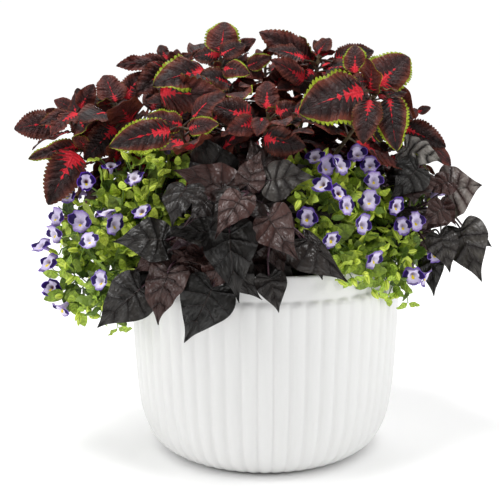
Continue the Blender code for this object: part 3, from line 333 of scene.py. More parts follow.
# The first stems are those that show from the front. The last ones fill the sides and the back.
STEMS = (
    coleus(sight(380, 88, 80), Seen((363, 91), (299, 113), 95, 0, -10, 0.85),
           Seen((370, 100), (363, 144), 105, 25, 5, 0.62), Seen((378, 86), (409, 57), 75, -35, 10, 0.75),
           Seen((390, 98), (397, 151), 100, 30, 15, 0.6), Seen((355, 73), (355, 45), 70, -25, 0, 0.7),
           Seen((369, 82), (338, 85), 80, 0, 10), pairs=(3,)),
    coleus(sight(268, 112, 90), Seen((267, 109), (267, 81), 80, -30),
           Seen((251, 119), (211, 104), 90, -15, -20), Seen((276, 113), (300, 108), 90, -25, 15),
           Seen((264, 138), (306, 147), 110, 15, 20), Seen((255, 122), (226, 132), 100, 20, -25),
           Seen((262, 118), (257, 136), 100, 25)),
    coleus(sight(218, 68, 0), Seen((221, 53), (225, 22), 0, -30, 0, 0.9),
           Seen((220, 55), (194, 57), 10, -20, -10), Seen((221, 55), (245, 44), 10, -20, 10),
           Seen((224, 68), (250, 74), 20, 20, 15), Seen((228, 84), (200, 74), 25, 35),
           Seen((248, 66), (272, 57), 0, 0, 20), pairs=(3,)),
    coleus(sight(320, 55, -30), Seen((310, 60), (259, 32), -25, 10, -20, 0.5),
           Seen((304, 59), (267, 50), -10, 15, 20), Seen((304, 80), (270, 60), 20, 25, -15, 0.5),
           Seen((335, 62), (374, 51), -30, 0, 15), Seen((318, 54), (330, 38), -40, -20), pairs=range(2, 5)),
    coleus(sight(175, 65, -50), Seen((168, 64), (116, 66), -50, 20, -10),
           Seen((166, 60), (160, 45), -55, -15), Seen((178, 62), (193, 54), -50, 0, 10),
           Seen((206, 72), (153, 86), -10, 35), Seen((168, 68), (136, 93), -40, 30, -25),
           Seen((160, 92), (226, 95), 10, 20, 40, 0.5), pairs=(3,)),
    coleus(sight(110, 102, 0), Seen((116, 102), (104, 75), 0, -25, 0, 0.95),
           Seen((115, 128), (84, 160), 30, 25, -20), Seen((124, 98), (144, 72), -10, -20, 20), pairs=(3,)),
    coleus(sight(66, 120, 0), Seen((58, 123), (14, 129), 0, 10, -20, 0.7),
           Seen((72, 115), (39, 125), 20, 25, 0, 0.5), Seen((77, 113), (51, 136), 10, 40, 20, 0.5),
           Seen((80, 108), (94, 84), 0, -10, 20), pairs=(3,)),
    coleus(sight(88, 150, 40), Seen((80, 146), (28, 159), 40, 15, -10),
           Seen((75, 152), (48, 205), 60, 25, -15, 0.62), pairs=(3,)),
    coleus(sight(176, 124, 95), Seen((170, 130), (109, 147), 105, 20, -15, 0.55),
           Seen((182, 126), (147, 116), 100, 0, -10), Seen((189, 129), (219, 124), 110, 10, 10)),
    coleus(sight(412, 120, -20), Seen((404, 128), (446, 147), -10, 25, 25, 0.6),
           Seen((418, 112), (452, 100), -40, 0, 20), pairs=(3,)),
    vine(sight(252, 196, 145), Seen((220, 185), (194, 131), 105, -35),
         Seen((229, 190), (173, 170), 130, 0, -10), Seen((247, 186), (262, 150), 140, -15),
         Seen((268, 180), (316, 178), 140, 5, 15, 0.95), Seen((242, 197), (215, 239), 170, 20, -15, 0.6),
         Seen((240, 192), (211, 225), 152, 10, -20, 0.7)),
    vine(sight(231, 226, 150), Seen((229, 229), (239, 303), 178, 18, 0, 0.72),
         Seen((230, 262), (262, 300), 162, 15, 15, 0.8), Seen((213, 287), (184, 343), 185, 12, -20),
         Seen((212, 232), (169, 236), 165, 0, -10, 0.7)),
    vine(sight(197, 205, 132), Seen((186, 186), (172, 228), 135, 30, -10),
         Seen((208, 200), (189, 221), 155, 5, -10), Seen((165, 240), (112, 242), 165, -10, -10),
         Seen((170, 245), (136, 272), 155, 0, -15), Seen((205, 258), (176, 262), 185, 5, 0, 0.7)),
    vine(sight(165, 275, 172), Seen((168, 270), (158, 325), 182, 10, -10, 0.75),
         Seen((141, 288), (97, 328), 168, 0, -20), Seen((192, 262), (184, 290), 178, 5)),
    vine(sight(276, 218, 150), Seen((268, 216), (299, 261), 178, 20, 15, 0.75),
         Seen((269, 276), (279, 313), 185, 6, 5), Seen((305, 238), (349, 283), 150, 20, 20, 0.85),
         Seen((262, 240), (296, 281), 165, 15, 10)),
    vine(sight(408, 165, -10), Seen((382, 152), (419, 174), 35, 15, 0, 0.7),
         Seen((405, 148), (442, 162), -5, 10, 10, 0.9), Seen((424, 176), (428, 200), 10, 20),
         Seen((418, 168), (390, 200), 30, 25, -10)),
    vine(sight(448, 207, 0), Seen((446, 191), (482, 185), -5, 5, 10, 0.95),
         Seen((460, 228), (482, 282), 5, 25, 20), Seen((474, 236), (492, 247), -15, 0, 10),
         Seen((443, 208), (420, 226), 25, 25, -10)),
    vine(sight(434, 232, 15), Seen((440, 235), (450, 273), 40, 15, 10),
         Seen((430, 256), (434, 297), 50, 10)),
    torenia(Bloom(sight(111, 164, 70), -10, 35)),
    torenia(Bloom(sight(134, 176, 85), 0, 30)),
    torenia(Bloom(sight(167, 143, 40), 5, 40)),
    torenia(Bloom(sight(86, 181, 80), -20, 25), Bloom(sight(67, 194, 65), -70, 10)),
    torenia(Bloom(sight(55, 216, 65), -50, 15), Bloom(sight(52, 234, 70), -20, 0)),
    torenia(Bloom(sight(80, 221, 115), -20, 15), Bloom(sight(89, 239, 135), -10, 5)),
    torenia(Bloom(sight(106, 211, 125), 0, 20), Bloom(sight(117, 224, 145), 20, 10)),
    torenia(Bloom(sight(141, 210, 130), 10, 20)),
    torenia(Bloom(sight(39, 244, 40), -60, 10), Bloom(sight(46, 262, 60), -30, 0)),
    torenia(Bloom(sight(100, 280, 150), -15, 0), Bloom(sight(68, 250, 110), -30, -20, True)),
    torenia(Bloom(sight(50, 287, 75), -50, -5), Bloom(sight(59, 311, 95), -20, -20)),
    torenia(Bloom(sight(315, 156, 105), 0, 30), Bloom(sight(327, 162, 110), 40, 15)),
    torenia(Bloom(sight(341, 163, 110), 30, 20), Bloom(sight(358, 152, 90), 10, 30)),
    torenia(Bloom(sight(370, 163, 95), 20, 20), Bloom(sight(374, 180, 110), 10, 10)),
    torenia(Bloom(sight(321, 183, 135), -15, 20), Bloom(sight(307, 217, 165), 0, 5)),
    torenia(Bloom(sight(340, 192, 135), 10, 15), Bloom(sight(348, 205, 150), 20, 10)),
    torenia(Bloom(sight(369, 199, 125), 15, 15), Bloom(sight(364, 224, 145), 5, 0)),
    torenia(Bloom(sight(398, 206, 95), 25, 15), Bloom(sight(403, 226, 100), 10, 0)),
    torenia(Bloom(sight(417, 221, 80), 40, 10)),
    torenia(Bloom(sight(332, 240, 170), 0, 0)),
    torenia(Bloom(sight(377, 260, 145), 20, 0)),
    torenia(Bloom(sight(414, 277, 112), 25, -30), Bloom(sight(428, 278, 85), 45, -20)),
    torenia(Bloom(sight(436, 254, 60), 45, 5)),
    torenia(Bloom(polar(100, 235, 330), 100, 20), Bloom(polar(112, 240, 300), 120, 10)),
    torenia(Bloom(polar(262, 250, 330), -95, 20), Bloom(polar(250, 245, 290), -110, 5)),
    torenia(Bloom(polar(232, 225, 270), -130, 10), Bloom(polar(222, 220, 310), -140, 20)),
    coleus(polar(180, 55, 500), pairs=range(5)),
    coleus(polar(150, 150, 455), pairs=range(1, 5)),
    coleus(polar(205, 160, 450), pairs=range(1, 5)),
    coleus(polar(115, 205, 400), pairs=range(1, 5)),
    coleus(polar(240, 215, 400), pairs=range(1, 5)),
    coleus(polar(178, 215, 370), pairs=range(2, 5)),
    vine(polar(160, 205, 290), pairs=range(5)),
    vine(polar(196, 205, 270), pairs=range(5)),
    vine(polar(128, 215, 285), pairs=range(5)),
    vine(polar(222, 200, 250), pairs=range(4)),
)


def stem_path(stem, root, bow, rise, hang, shares=None):
    """The centre line of a stem: straight up out of the soil, then out and over to its top."""
    outward = Vector((stem.top.x - root.x, stem.top.y - root.y, 0)).normalized()
    lean = math.radians(stem.lean)
    axis = outward * math.sin(lean) + UP * math.cos(lean)
    collar = Vector((root.x, root.y, SOIL_LEVEL + SOIL_CROWN + COLLAR))
    reach = (stem.top - collar).length
    side = outward.cross(UP) * (bow / 1000)
    if not shares and stem.plant == "torenia":
        half = HABITS["torenia"].stem / reach
        shares = [0, 0.3]
        for node in (LOW_LEAVES, *[SIDE_BLOOM] * (len(stem.blooms) - 1), *HIGH_LEAVES):
            shares += [node - half, node + half]
        shares.append(1)
    first = collar + UP * reach * rise + side
    second = stem.top - axis * reach * hang + side
    bend = [bezier(collar, first, second, stem.top, t) for t in shares or (0, 0.25, 0.5, 0.75, 1)]
    return [Vector((root.x, root.y, SOIL_LEVEL - ROOTED)), *bend]


def leaf_section(path, index):
    """The section of a spray's stem that its pair of leaves of that number grows from."""
    return (len(path) - 3, len(path) - 5, 3)[index]


def stem_radii(stem, path):
    """A stem's radius at each point of its centre line: it narrows towards its top."""
    radius = HABITS[stem.plant].stem
    return [radius * (1 - 0.4 * max(i - 1, 0) / (len(path) - 2)) for i in range(len(path))]


def rootings():
    """Where each stem leaves the soil: further out for one that ends further out, and well apart."""
    taken = []
    for stem in STEMS:
        wanted = Vector((stem.top.x, stem.top.y, 0)) * SHARE_OF_REACH[stem.plant]
        for step in range(200):
            turn = step * GOLDEN_TURN
            place = wanted + Vector((math.cos(turn), math.sin(turn), 0)) * (0.003 * math.sqrt(step))
            if place.length < ROOTS_REACH and all((place - other).length > ROOT_SPACING for other in taken):
                break
        taken.append(place)
    return taken


def along(path, share):
    """A point of a polyline, and the direction there, by the share of its length above the soil."""
    path = path[1:]
    lengths = [(b - a).length for a, b in zip(path, path[1:])]
    left = share * sum(lengths)
    for a, b, length in zip(path, path[1:], lengths):
        if left <= length or b is path[-1]:
            return a.lerp(b, min(left / length, 1)), (b - a).normalized()
        left -= length


def joined(plant, path, base, tip, normal, spread):
    """A leaf whose stalk comes to the back of its blade from the best place on the stem."""
    normal = square_to(normal, (tip - base).normalized())
    reach = HABITS[plant].reach

    def strain(spot):
        stalk = base - spot
        return abs(stalk.length - reach) + 2 * reach * max(0.4 - stalk.normalized().dot(normal), 0)

    root = min((along(path, share / 40)[0] for share in range(6, 40)), key=strain)
    return Leaf(plant, root, base, tip, normal, spread or HABITS[plant].spread)


def seen_leaves(stem, path, seen):
    """A leaf of the photograph, and then the same leaf moved along the line of sight or turned."""
    for shift, turn, dip in MOVES:
        base = sight(*seen.base, seen.depth + shift)
        tip = sight(*seen.tip, seen.depth + seen.nearer + shift + dip)
        chord = (tip - base).normalized()
        face = square_to((EYE - base).normalized() * 0.75 + UP * 0.5, chord)
        normal = Matrix.Rotation(math.radians(seen.roll + turn), 3, chord) @ face
        yield joined(stem.plant, path, base, tip, normal, seen.spread)


def paired_leaves(stem, path, pair, way, draw):
    """A leaf of an opposite pair, each pair square to the one above, and then the same leaf nudged."""
    habit = HABITS[stem.plant]
    length_of_stem = sum((b - a).length for a, b in zip(path[1:], path[2:]))
    below, size, angle = PAIR_DEPTHS[pair], PAIR_SIZES[pair] * habit.largest, PAIR_ANGLES[pair]
    root, axis = along(path, max(1 - below / length_of_stem, 0.12))
    side = square_to(Vector((0.3, 1, 0.2)), axis)
    start = 90 * pair + 180 * way + draw.uniform(-14, 14) + 40
    size *= draw.uniform(0.9, 1.08)
    for swing, tilt, shrink in NUDGES:
        radial = Matrix.Rotation(math.radians(start + swing), 3, axis) @ side
        lean = math.radians(angle + tilt)
        out = axis * math.cos(lean) + radial * math.sin(lean)
        base = root + out * (habit.reach * (0.5 + 0.5 * shrink * size / habit.largest))
        tip = base + (out - UP * 0.22).normalized() * size * shrink
        normal = square_to(axis + UP * 0.4, (tip - base).normalized())
        yield Leaf(stem.plant, root, base, tip, normal, habit.spread)


def spray_leaves(stem, path, section, side, draw):
    """A leaf that grows out of one side of a spray's stem, and then the same leaf nudged."""
    habit = HABITS[stem.plant]
    points = section_corners(path, stem_radii(stem, path))
    out = side_normal(points, section, side)
    root = (path[section] + path[section + 1]) / 2
    axis = (path[section + 1] - path[section]).normalized()
    base = root + out * habit.stem * 0.6
    size = habit.largest * draw.uniform(0.8, 1.05)
    for swing, tilt, shrink in NUDGES:
        lean = math.radians(62 + draw.uniform(-6, 6) + tilt * 0.6)
        turn = Matrix.Rotation(math.radians(swing), 3, axis)
        chord = (turn @ (axis * math.cos(lean) + out * math.sin(lean)) + UP * 0.1).normalized()
        if chord.dot(out) < 0.35:
            continue
        normal = square_to(axis + UP * 0.3, chord)
        yield Leaf("torenia", root, base, base + chord * size * shrink, normal, habit.spread)


def trailing_leaves(stem, path, index, draw):
    """A leaf of a trailing stem, each a good third of a turn on from the last, and then nudged."""
    habit = HABITS[stem.plant]
    root, axis = along(path, 0.98 - 0.15 * index)
    outward = Vector((root.x, root.y, 0)).normalized()
    side = square_to(UP + outward * 0.4, axis)
    size = habit.largest * min(0.55 + 0.2 * index, 1) * draw.uniform(0.88, 1.08)
    start = 137.5 * index + draw.uniform(-20, 20)
    for swing, tilt, shrink in NUDGES:
        radial = Matrix.Rotation(math.radians(start + swing), 3, axis) @ side
        out = (radial * 0.7 + outward * 0.5 + UP * (0.5 - tilt / 60)).normalized()
        base = root + out * habit.reach * (0.6 + 0.4 * shrink)
        normal = (outward * 0.8 + UP * 0.55 + radial * 0.3).normalized()
        fall = square_to(outward * 0.5 + radial * 0.7 - UP * 0.9, normal)
        yield Leaf(stem.plant, root, base, base + fall * size * shrink, normal, habit.spread)


def moved_blooms(bloom):
    """A flower, and then the same flower moved along the line of sight, up or down, or turned."""
    for shift in (0, 5, -5, 10, -10, 16, -16, 24):
        for lift in (0, 4, -4):
            for turn in (0, 18, -18):
                at = bloom.at + (EYE - bloom.at).normalized() * shift / 1000 + UP * lift / 1000
                yield bloom._replace(at=at, right=bloom.right + turn)


def corners_of(node):
    """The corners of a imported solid, to look places up in."""
    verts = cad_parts[node].data.vertices
    tree = KDTree(len(verts))
    for i, vert in enumerate(verts):
        tree.insert(vert.co, i)
    tree.balance()
    return tree


def built(corners, choices, marks, share, apart=0):
    """The first choice of which that share of its marks lie a given way from corners of the solid."""
    for choice in choices:
        points = marks(choice)
        if sum(abs(corners.find(point)[2] - apart) < SAME for point in points) >= share * len(points):
            return choice
    return None


def leaf_marks(leaf):
    """Where a leaf's solid has its tip and its outline."""
    t, w = np.array(HABITS[leaf.plant].outline).T
    return [leaf.tip, *(Vector(p) for way in (1, -1) for p in surface(leaf, t, w * way))]


def bloom_marks(bloom):
    """Where a flower's solid has the corners of its lobes, or the middle of a bud's end."""
    if bloom.bud:
        return [bloom.at]
    look, across, above = bloom_axes(bloom)
    points = []
    for turn, radius in LOBES:
        turn = math.radians(turn)
        out = across * math.cos(turn) + above * math.sin(turn)
        points.append(bloom.at + out * (radius / 1000) - look * (LOBE_BACK * math.sin(2 * turn) ** 2))
    return points


def bloom_axes(bloom):
    """The directions out of a flower, to its right, and up its face."""
    look = facing(bloom.right, bloom.up)
    across = square_to(UP.cross(look), look)
    return look, across, look.cross(across)


CURVE_SHARES = [i / 14 for i in range(15)]


def grow():
    """Finds every stem, leaf and flower in the place that its solid has."""
    counts, plants = {}, []
    for stem, root in zip(STEMS, rootings()):
        counts[stem.plant] = counts.get(stem.plant, 0) + 1
        name = f"{stem.plant}_{counts[stem.plant]:02d}"
        corners = corners_of(name)

        def stem_marks(bend):
            path = stem_path(stem, root, *bend)
            return section_corners(path, stem_radii(stem, path))[8:-4]

        bend = built(corners, BENDS, stem_marks, 0.4) or BENDS[0]
        path = stem_path(stem, root, *bend)
        plant = Grown(name, stem, path, stem_path(stem, root, *bend, CURVE_SHARES), [], [], [])
        plants.append(plant)
        for bloom in stem.blooms:
            apart = BUD_RADIUS if bloom.bud else 0
            plant.blooms.append(built(corners, moved_blooms(bloom), bloom_marks, 0.9, apart))
        found = []
        for seen in stem.leaves:
            found.append(built(corners, seen_leaves(stem, path, seen), leaf_marks, 0.7))
            if found[-1]:
                plant.tips.append(seen.tip)
        for index in stem.pairs:
            for way in range(1 if stem.plant == "vine" else 2):
                draw = random.Random(f"{name} {index} {way}")
                if stem.plant == "torenia":
                    place = leaf_section(path, index), index % 2 + 2 * way
                    choices = spray_leaves(stem, path, *place, draw)
                elif stem.plant == "vine":
                    choices = trailing_leaves(stem, path, index, draw)
                else:
                    choices = paired_leaves(stem, path, index, way, draw)
                found.append(built(corners, choices, leaf_marks, 0.7))
        plant.leaves.extend(leaf for leaf in found if leaf)
    return plants


def smooth_through(points, at):
    """Points of a smooth curve through some points, by their share of its length."""
    points = np.array(points, float)
    ends = np.vstack([2 * points[0] - points[1], points, 2 * points[-1] - points[-2]])
    run = []
    for a, b, c, d in zip(ends, ends[1:], ends[2:], ends[3:]):
        t = np.linspace(0, 1, 12, endpoint=False)[:, None]
        run.append(0.5 * (2 * b + (c - a) * t + (2 * a - 5 * b + 4 * c - d) * t ** 2
                          + (3 * b - a - 3 * c + d) * t ** 3))
    run = np.vstack([*run, points[-1:]])
    length = np.concatenate([[0], np.cumsum(np.linalg.norm(np.diff(run, axis=0), axis=1))])
    return np.column_stack([np.interp(np.array(at) * length[-1], length, axis) for axis in run.T])


# What each leaf or flower has of its own: how light it is, how wide its margin, how red its heart
# On a vine leaf the heart value is its share of painted sheen
LOOKS = ("tone", "margin", "heart")
# The sharpest bend that is shaded smooth
SHARP = math.radians(55)

# A grid of corners to lay out as a blade: its mesh, where along and across the blade each corner is,
# which face of it, and each face's material
Template = namedtuple("Template", "mesh along across face indices")


def blade_template(name, rows, columns):
    """A thin flat slab, one unit square, that leaves are shaped from. Its upper side is face +1."""
    bm = bmesh.new()
    cells = len(columns) - 1
    bmesh.ops.create_grid(bm, x_segments=rows, y_segments=cells, size=0.5)
    bmesh.ops.solidify(bm, geom=bm.faces[:], thickness=1)
    bmesh.ops.recalc_face_normals(bm, faces=bm.faces[:])
    uv = bm.loops.layers.uv.new("UVMap")
    for label in LOOKS:
        bm.verts.layers.float.new(label)
    middle = sum(vert.co.z for vert in bm.verts) / len(bm.verts)
    along, across, face = [], [], []
    for vert in bm.verts:
        along.append(vert.co.x + 0.5)
        across.append(columns[round((vert.co.y + 0.5) * cells)])
        face.append(1 if vert.co.z > middle else -1)
    bm.verts.index_update()
    for made in bm.faces:
        made.smooth = True
        made.material_index = int(sum(face[vert.index] for vert in made.verts) < -3)
        for loop in made.loops:
            loop[uv].uv = (along[loop.vert.index], across[loop.vert.index] / 2 + 0.5)
    return template_of(name, bm, along, across, face)


def rod_template(name, sections, sides):
    """A closed tube that stems, flowers and the pot are shaped from. Across is the turn round it."""
    bm = bmesh.new()
    bmesh.ops.create_cone(bm, cap_ends=True, segments=sides, radius1=1, radius2=1, depth=1)
    upright = [edge for edge in bm.edges if abs(edge.verts[0].co.z - edge.verts[1].co.z) > 0.5]
    bmesh.ops.subdivide_edges(bm, edges=upright, cuts=sections - 1)
    uv = bm.loops.layers.uv.new("UVMap")
    for label in LOOKS:
        bm.verts.layers.float.new(label)
    along = [vert.co.z + 0.5 for vert in bm.verts]
    turn = [math.atan2(vert.co.y, vert.co.x) for vert in bm.verts]
    bm.verts.index_update()
    for made in bm.faces:
        made.smooth = len(made.verts) < 5
        shares = [(turn[loop.vert.index] / math.tau) % 1 for loop in made.loops]
        wraps = max(shares) - min(shares) > 0.5
        for loop, share in zip(made.loops, shares):
            loop[uv].uv = (share + (wraps and share < 0.5), along[loop.vert.index])
    return template_of(name, bm, along, turn, [0] * len(bm.verts))


def template_of(name, bm, along, across, face):
    """Keeps a template's mesh and where its corners are."""
    mesh = bpy.data.meshes.new(name)
    bm.to_mesh(mesh)
    bm.free()
    indices = np.zeros(len(mesh.polygons), np.int32)
    mesh.polygons.foreach_get("material_index", indices)
    return Template(mesh, np.array(along), np.array(across), np.array(face), indices)


def placed(name, data):
    """A new object in the scene."""
    item = bpy.data.objects.new(name, data)
    bpy.context.scene.collection.objects.link(item)
    return item


class Piece:
    """A piece in the making, which shaped copies of templates are added to."""

    def __init__(self):
        self.bm = bmesh.new()

    def add(self, template, points, slot=0, looks=(0.5, 0, 0)):
        """Adds a copy of a template with its corners at some points."""
        mesh = template.mesh.copy()
        mesh.vertices.foreach_set("co", np.asarray(points, np.float32).ravel())
        mesh.polygons.foreach_set("material_index", template.indices + slot)
        for label, value in zip(LOOKS, looks):
            mesh.attributes[label].data.foreach_set("value", np.full(len(points), value, np.float32))
        self.bm.from_mesh(mesh)
        bpy.data.meshes.remove(mesh)

    def finish(self, name, materials, slot, *nodes):
        """Makes the piece an object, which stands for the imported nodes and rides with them."""
        mesh = bpy.data.meshes.new(name)
        self.bm.to_mesh(mesh)
        self.bm.free()
        mesh.set_sharp_from_angle(angle=SHARP)
        for material in materials:
            mesh.materials.append(material)
        piece = placed(name, mesh)
        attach(piece, "root")
        if nodes:
            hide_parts(*nodes)


def tube_points(template, path, radii):
    """The corners of a rod template laid along a path, its rings spaced evenly from point to point."""
    shares = np.linspace(0, 1, len(path))
    centres = np.column_stack([np.interp(template.along, shares, axis) for axis in np.array(path).T])
    radius = np.interp(template.along, shares, radii)
    sides, across = [], Vector((1, 0, 0)) if abs((path[-1] - path[0]).normalized().x) < 0.9 else UP
    for i in range(len(path)):
        ahead = (path[min(i + 1, len(path) - 1)] - path[max(i - 1, 0)]).normalized()
        across = square_to(across, ahead)
        sides.append((*across, *ahead.cross(across)))
    sides = np.column_stack([np.interp(template.along, shares, axis) for axis in np.array(sides).T])
    turn = template.across
    out = sides[:, :3] * np.cos(turn)[:, None] + sides[:, 3:] * np.sin(turn)[:, None]
    return centres + out * radius[:, None]


# A toothed blade: teeth to a side, how deep they are, how far its side veins slant, and how its half
# width rises and falls. A blade's form: how high it bulges between its veins, how far its edge waves
# and how far it buckles, as shares of its length
Outline = namedtuple("Outline", "teeth depth slant blunt")
OUTLINES = {
    "coleus": Outline(16, 0.065, 0.20, (0.42, 0.75)),
    "torenia": Outline(6, 0.10, 0.15, (0.55, 0.85)),
}
Form = namedtuple("Form", "veins bulge wave buckle")
FORMS = {
    "coleus": Form(9, 0.018, 0.044, 0.040),
    "vine": Form(6, 0.022, 0.036, 0.040),
    "torenia": Form(4, 0.020, 0.040, 0.060),
}
# How a tooth's edge runs, by how many corners it has. A blade with fewer has a smooth edge. Then where a
# blade's corners are across it, from its left edge to its right, for blades that show more or less
TOOTH = {3: (-1.0, 0.7, 0.7), 4: (-1.5, 0.5, 1.0, 0.5)}
BLADE_COLUMNS = (-1, -0.93, -0.72, -0.42, -0.06, 0, 0.06, 0.42, 0.72, 0.93, 1)
MIDDLE_COLUMNS = (-1, -0.86, -0.55, -0.22, 0, 0.22, 0.55, 0.86, 1)
FEW_COLUMNS = (-1, -0.78, -0.35, 0, 0.35, 0.78, 1)
SMALL_COLUMNS = (-1, -0.55, 0, 0.55, 1)
# Half widths of a blade at its stalk and tip, as shares of its length, and how far its midrib stands out
NECK = 0.03
TIP_WIDTH = 0.004
MIDRIB_RIDGE = 0.0007


def lopsided(x, shape):
    """Half widths, with a blade's left and right halves each wider or narrower."""
    return np.where(x < 0, x * shape[0], x * shape[1])


def toothed_edge(plant, u, rows):
    """Half widths of a toothed blade at shares of its length."""
    outline = OUTLINES[plant]
    rise, fall = outline.blunt
    peak = rise / (rise + fall)
    width = (u / peak) ** rise * ((1 - u) / (1 - peak)) ** fall
    tooth = np.array(TOOTH.get(rows // outline.teeth, (0.0,)))
    tooth = tooth[np.round(u * rows).astype(int) % len(tooth)]
    return u, np.maximum(width * (1 + outline.depth * tooth * (u < 0.97)), NECK * (1 - u) + TIP_WIDTH)


def heart_edge(u):
    """The edge of a heart-shaped blade, by the share of its length round from the stalk to the tip."""
    return smooth_through([(0, NECK), *CORDATE, (1, TIP_WIDTH)], u).T


def blade_points(leaf, template, phase, shape=(1, 1, 1), thick=0.00035):
    """A leaf's corners. Its blade bulges between the side veins and waves at its edge, in a way that
    its phase settles, and is thickest at the midrib."""
    u, s, face = template.along, template.across, template.face
    if leaf.plant == "vine":
        edge_t, edge_w = heart_edge(u)
        middle = 0.10 * u + 0.90 * u ** 3.2
    else:
        edge_t, edge_w = toothed_edge(leaf.plant, u, len(np.unique(u.round(4))) - 1)
        middle = u - OUTLINES[leaf.plant].slant * np.sin(math.pi * u)
    out = np.abs(s)
    share = out ** 1.25
    t = middle * (1 - share) + edge_t * share
    x = lopsided(s * edge_w, shape)
    length = (leaf.tip - leaf.base).length
    form = FORMS[leaf.plant]
    free = np.sqrt(np.sin(math.pi * np.clip(u, 0.001, 0.999)))
    lift = -form.bulge * np.cos(math.tau * form.veins * u) * np.sin(math.pi * np.minimum(out * 1.1, 1))
    ripple = np.sin(11 * u + 2 * s + phase) + 0.6 * np.sin(19 * u - s + 2.3 * phase)
    lift += form.wave * out ** 2 * free * ripple
    lift += form.buckle * free * np.sin(5.2 * u + 3 * s + 1.7 * phase) * np.cos(3.1 * s + phase)
    lift = lift * shape[2] * length - 0.010 * length * np.exp(-(s / 0.09) ** 2) * (1 - u)
    half = thick * (1 - 0.55 * out) * face
    half -= (face < 0) * MIDRIB_RIDGE * (out < 0.03) * (1 - 0.8 * u)
    return surface(leaf, t, x) + np.outer(lift + half, leaf.normal)


def petiole_points(template, root, leaf, radius):
    """The corners of a leaf's stalk, which curves from the stem into the back of the midrib."""
    along = (leaf.tip - leaf.base).normalized()
    end = leaf.base + along * 0.004 - leaf.normal * radius * 0.6
    reach = (end - root).length
    first = root + ((leaf.base - root).normalized() + UP * 0.25) * reach * 0.4
    second = end - along * reach * 0.35 - leaf.normal * reach * 0.05
    path = [bezier(root, first, second, end, i / 8) for i in range(9)]
    return tube_points(template, path, [radius * (1.25 - 0.45 * i / 8) for i in range(9)])


def nearest_on(curve, point):
    """The point of a stem's curve that lies nearest a point."""
    best = None
    for a, b in zip(curve, curve[1:]):
        share = min(max((point - a).dot(b - a) / max((b - a).length_squared, 1e-12), 0), 1)
        spot = a.lerp(b, share)
        if best is None or (spot - point).length < (best - point).length:
            best = spot
    return best


# Rings of a flower, from inside its throat over the lobes and back along its outside: the share of
# the lobes' outline, millimetres added to it, and millimetres towards the viewer
FLOWER_RINGS = ((0, 0.3, -7.6), (0, 1.1, -7.2), (0, 2.0, -6.2), (0, 3.0, -4.9), (0.28, 0.9, -3.5),
                (0.44, 0.5, -2.2), (0.60, 0.3, -1.2), (0.76, 0.1, -0.5), (0.90, 0, 0.0), (1.0, 0, -0.1),
                (0.99, 0, -0.6), (0.76, 0, -1.1), (0.50, 0, -2.8), (0.10, 3.2, -6.0), (0, 3.0, -10),
                (0, 2.1, -17))
# Corners round a flower, millimetres from its middle to a round one's edge, and how round it is
LOBE_STEPS = 44
LOBE_SPAN = 12.7
ROUNDED = 0.55
# Where its outline is cut open, and degrees that count as a millimetre when it is smoothed
SEAM = -126
DEGREES_PER_MM = 30


def flower_points(template, bloom, phase, roll, scale):
    """The corners of a wishbone flower: a funnel with an upper lip and three lower lobes."""
    look, across, above = bloom_axes(bloom)
    look, across, above = (np.array(Matrix.Rotation(roll, 3, look) @ v) for v in (look, across, above))
    turn = template.across
    degrees = (np.degrees(turn) - SEAM) % 360 + SEAM
    at, radius = np.array([*LOBES, (LOBES[0][0] + 360, LOBES[0][1])]).T
    edge = smooth_through(np.column_stack([at / DEGREES_PER_MM, radius]), np.linspace(0, 1, 97))
    outline = np.interp(degrees, edge[:, 0] * DEGREES_PER_MM, edge[:, 1])
    outline = (outline * (1 - ROUNDED) + LOBE_SPAN * ROUNDED) / 1000
    ring = np.round(template.along * (len(FLOWER_RINGS) - 1)).astype(int)
    share, added, ahead = np.array(FLOWER_RINGS).T[:, ring]
    ruffle = 1 + share * (0.035 * np.sin(9 * turn + phase) + 0.02 * np.sin(17 * turn + 2 * phase))
    out = share * outline * ruffle + added / 1000
    depth = ahead / 1000 - share ** 2 * LOBE_BACK * np.sin(2 * turn) ** 2
    depth += share ** 3 * 0.0013 * np.sin(5 * turn + 2 * phase)
    depth += share ** 2 * 0.0040 * np.cos(turn) ** 2 * np.sin(2.1 * phase)
    depth += share ** 2 * 0.0050 * np.maximum(np.sin(turn), 0) * np.sin(3.3 * phase)
    depth += share * out * 0.45 * (np.cos(turn) * np.sin(5.1 * phase) + np.sin(turn) * np.sin(7.7 * phase))
    spoke = np.outer(np.cos(turn), across) + np.outer(np.sin(turn), above)
    return np.array(bloom.at) + (spoke * out[:, None] + np.outer(depth, look)) * scale


# A calyx: how many wings it has, and how wide it is at shares of its length
CALYX_WINGS = 5
CALYX_BELLY = ((0, 0.12, 0.35, 0.6, 0.85, 1), (0.2, 0.72, 1.0, 0.9, 0.5, 0.12))


def calyx_points(template, base, tip, girth):
    """The corners of a calyx: a ribbed pod with a pinched end."""
    axis = (tip - base).normalized()
    across = square_to(Vector((0.3, 0.2, 1)) if abs(axis.z) < 0.9 else Vector((1, 0, 0)), axis)
    above = np.array(axis.cross(across))
    u, turn = template.along, template.across
    belly = np.interp(u, *CALYX_BELLY)
    radius = girth * belly * (1 + 0.2 * np.cos(CALYX_WINGS * turn))
    spoke = np.outer(np.cos(turn), across) + np.outer(np.sin(turn), above)
    return np.array(base) + np.outer(u * (tip - base).length, axis) + spoke * radius[:, None]


# How far behind a leaf another one may be that it isn't to hide, and half a flower's width
SCREEN = 0.10
FLOWER_HALF = 0.012


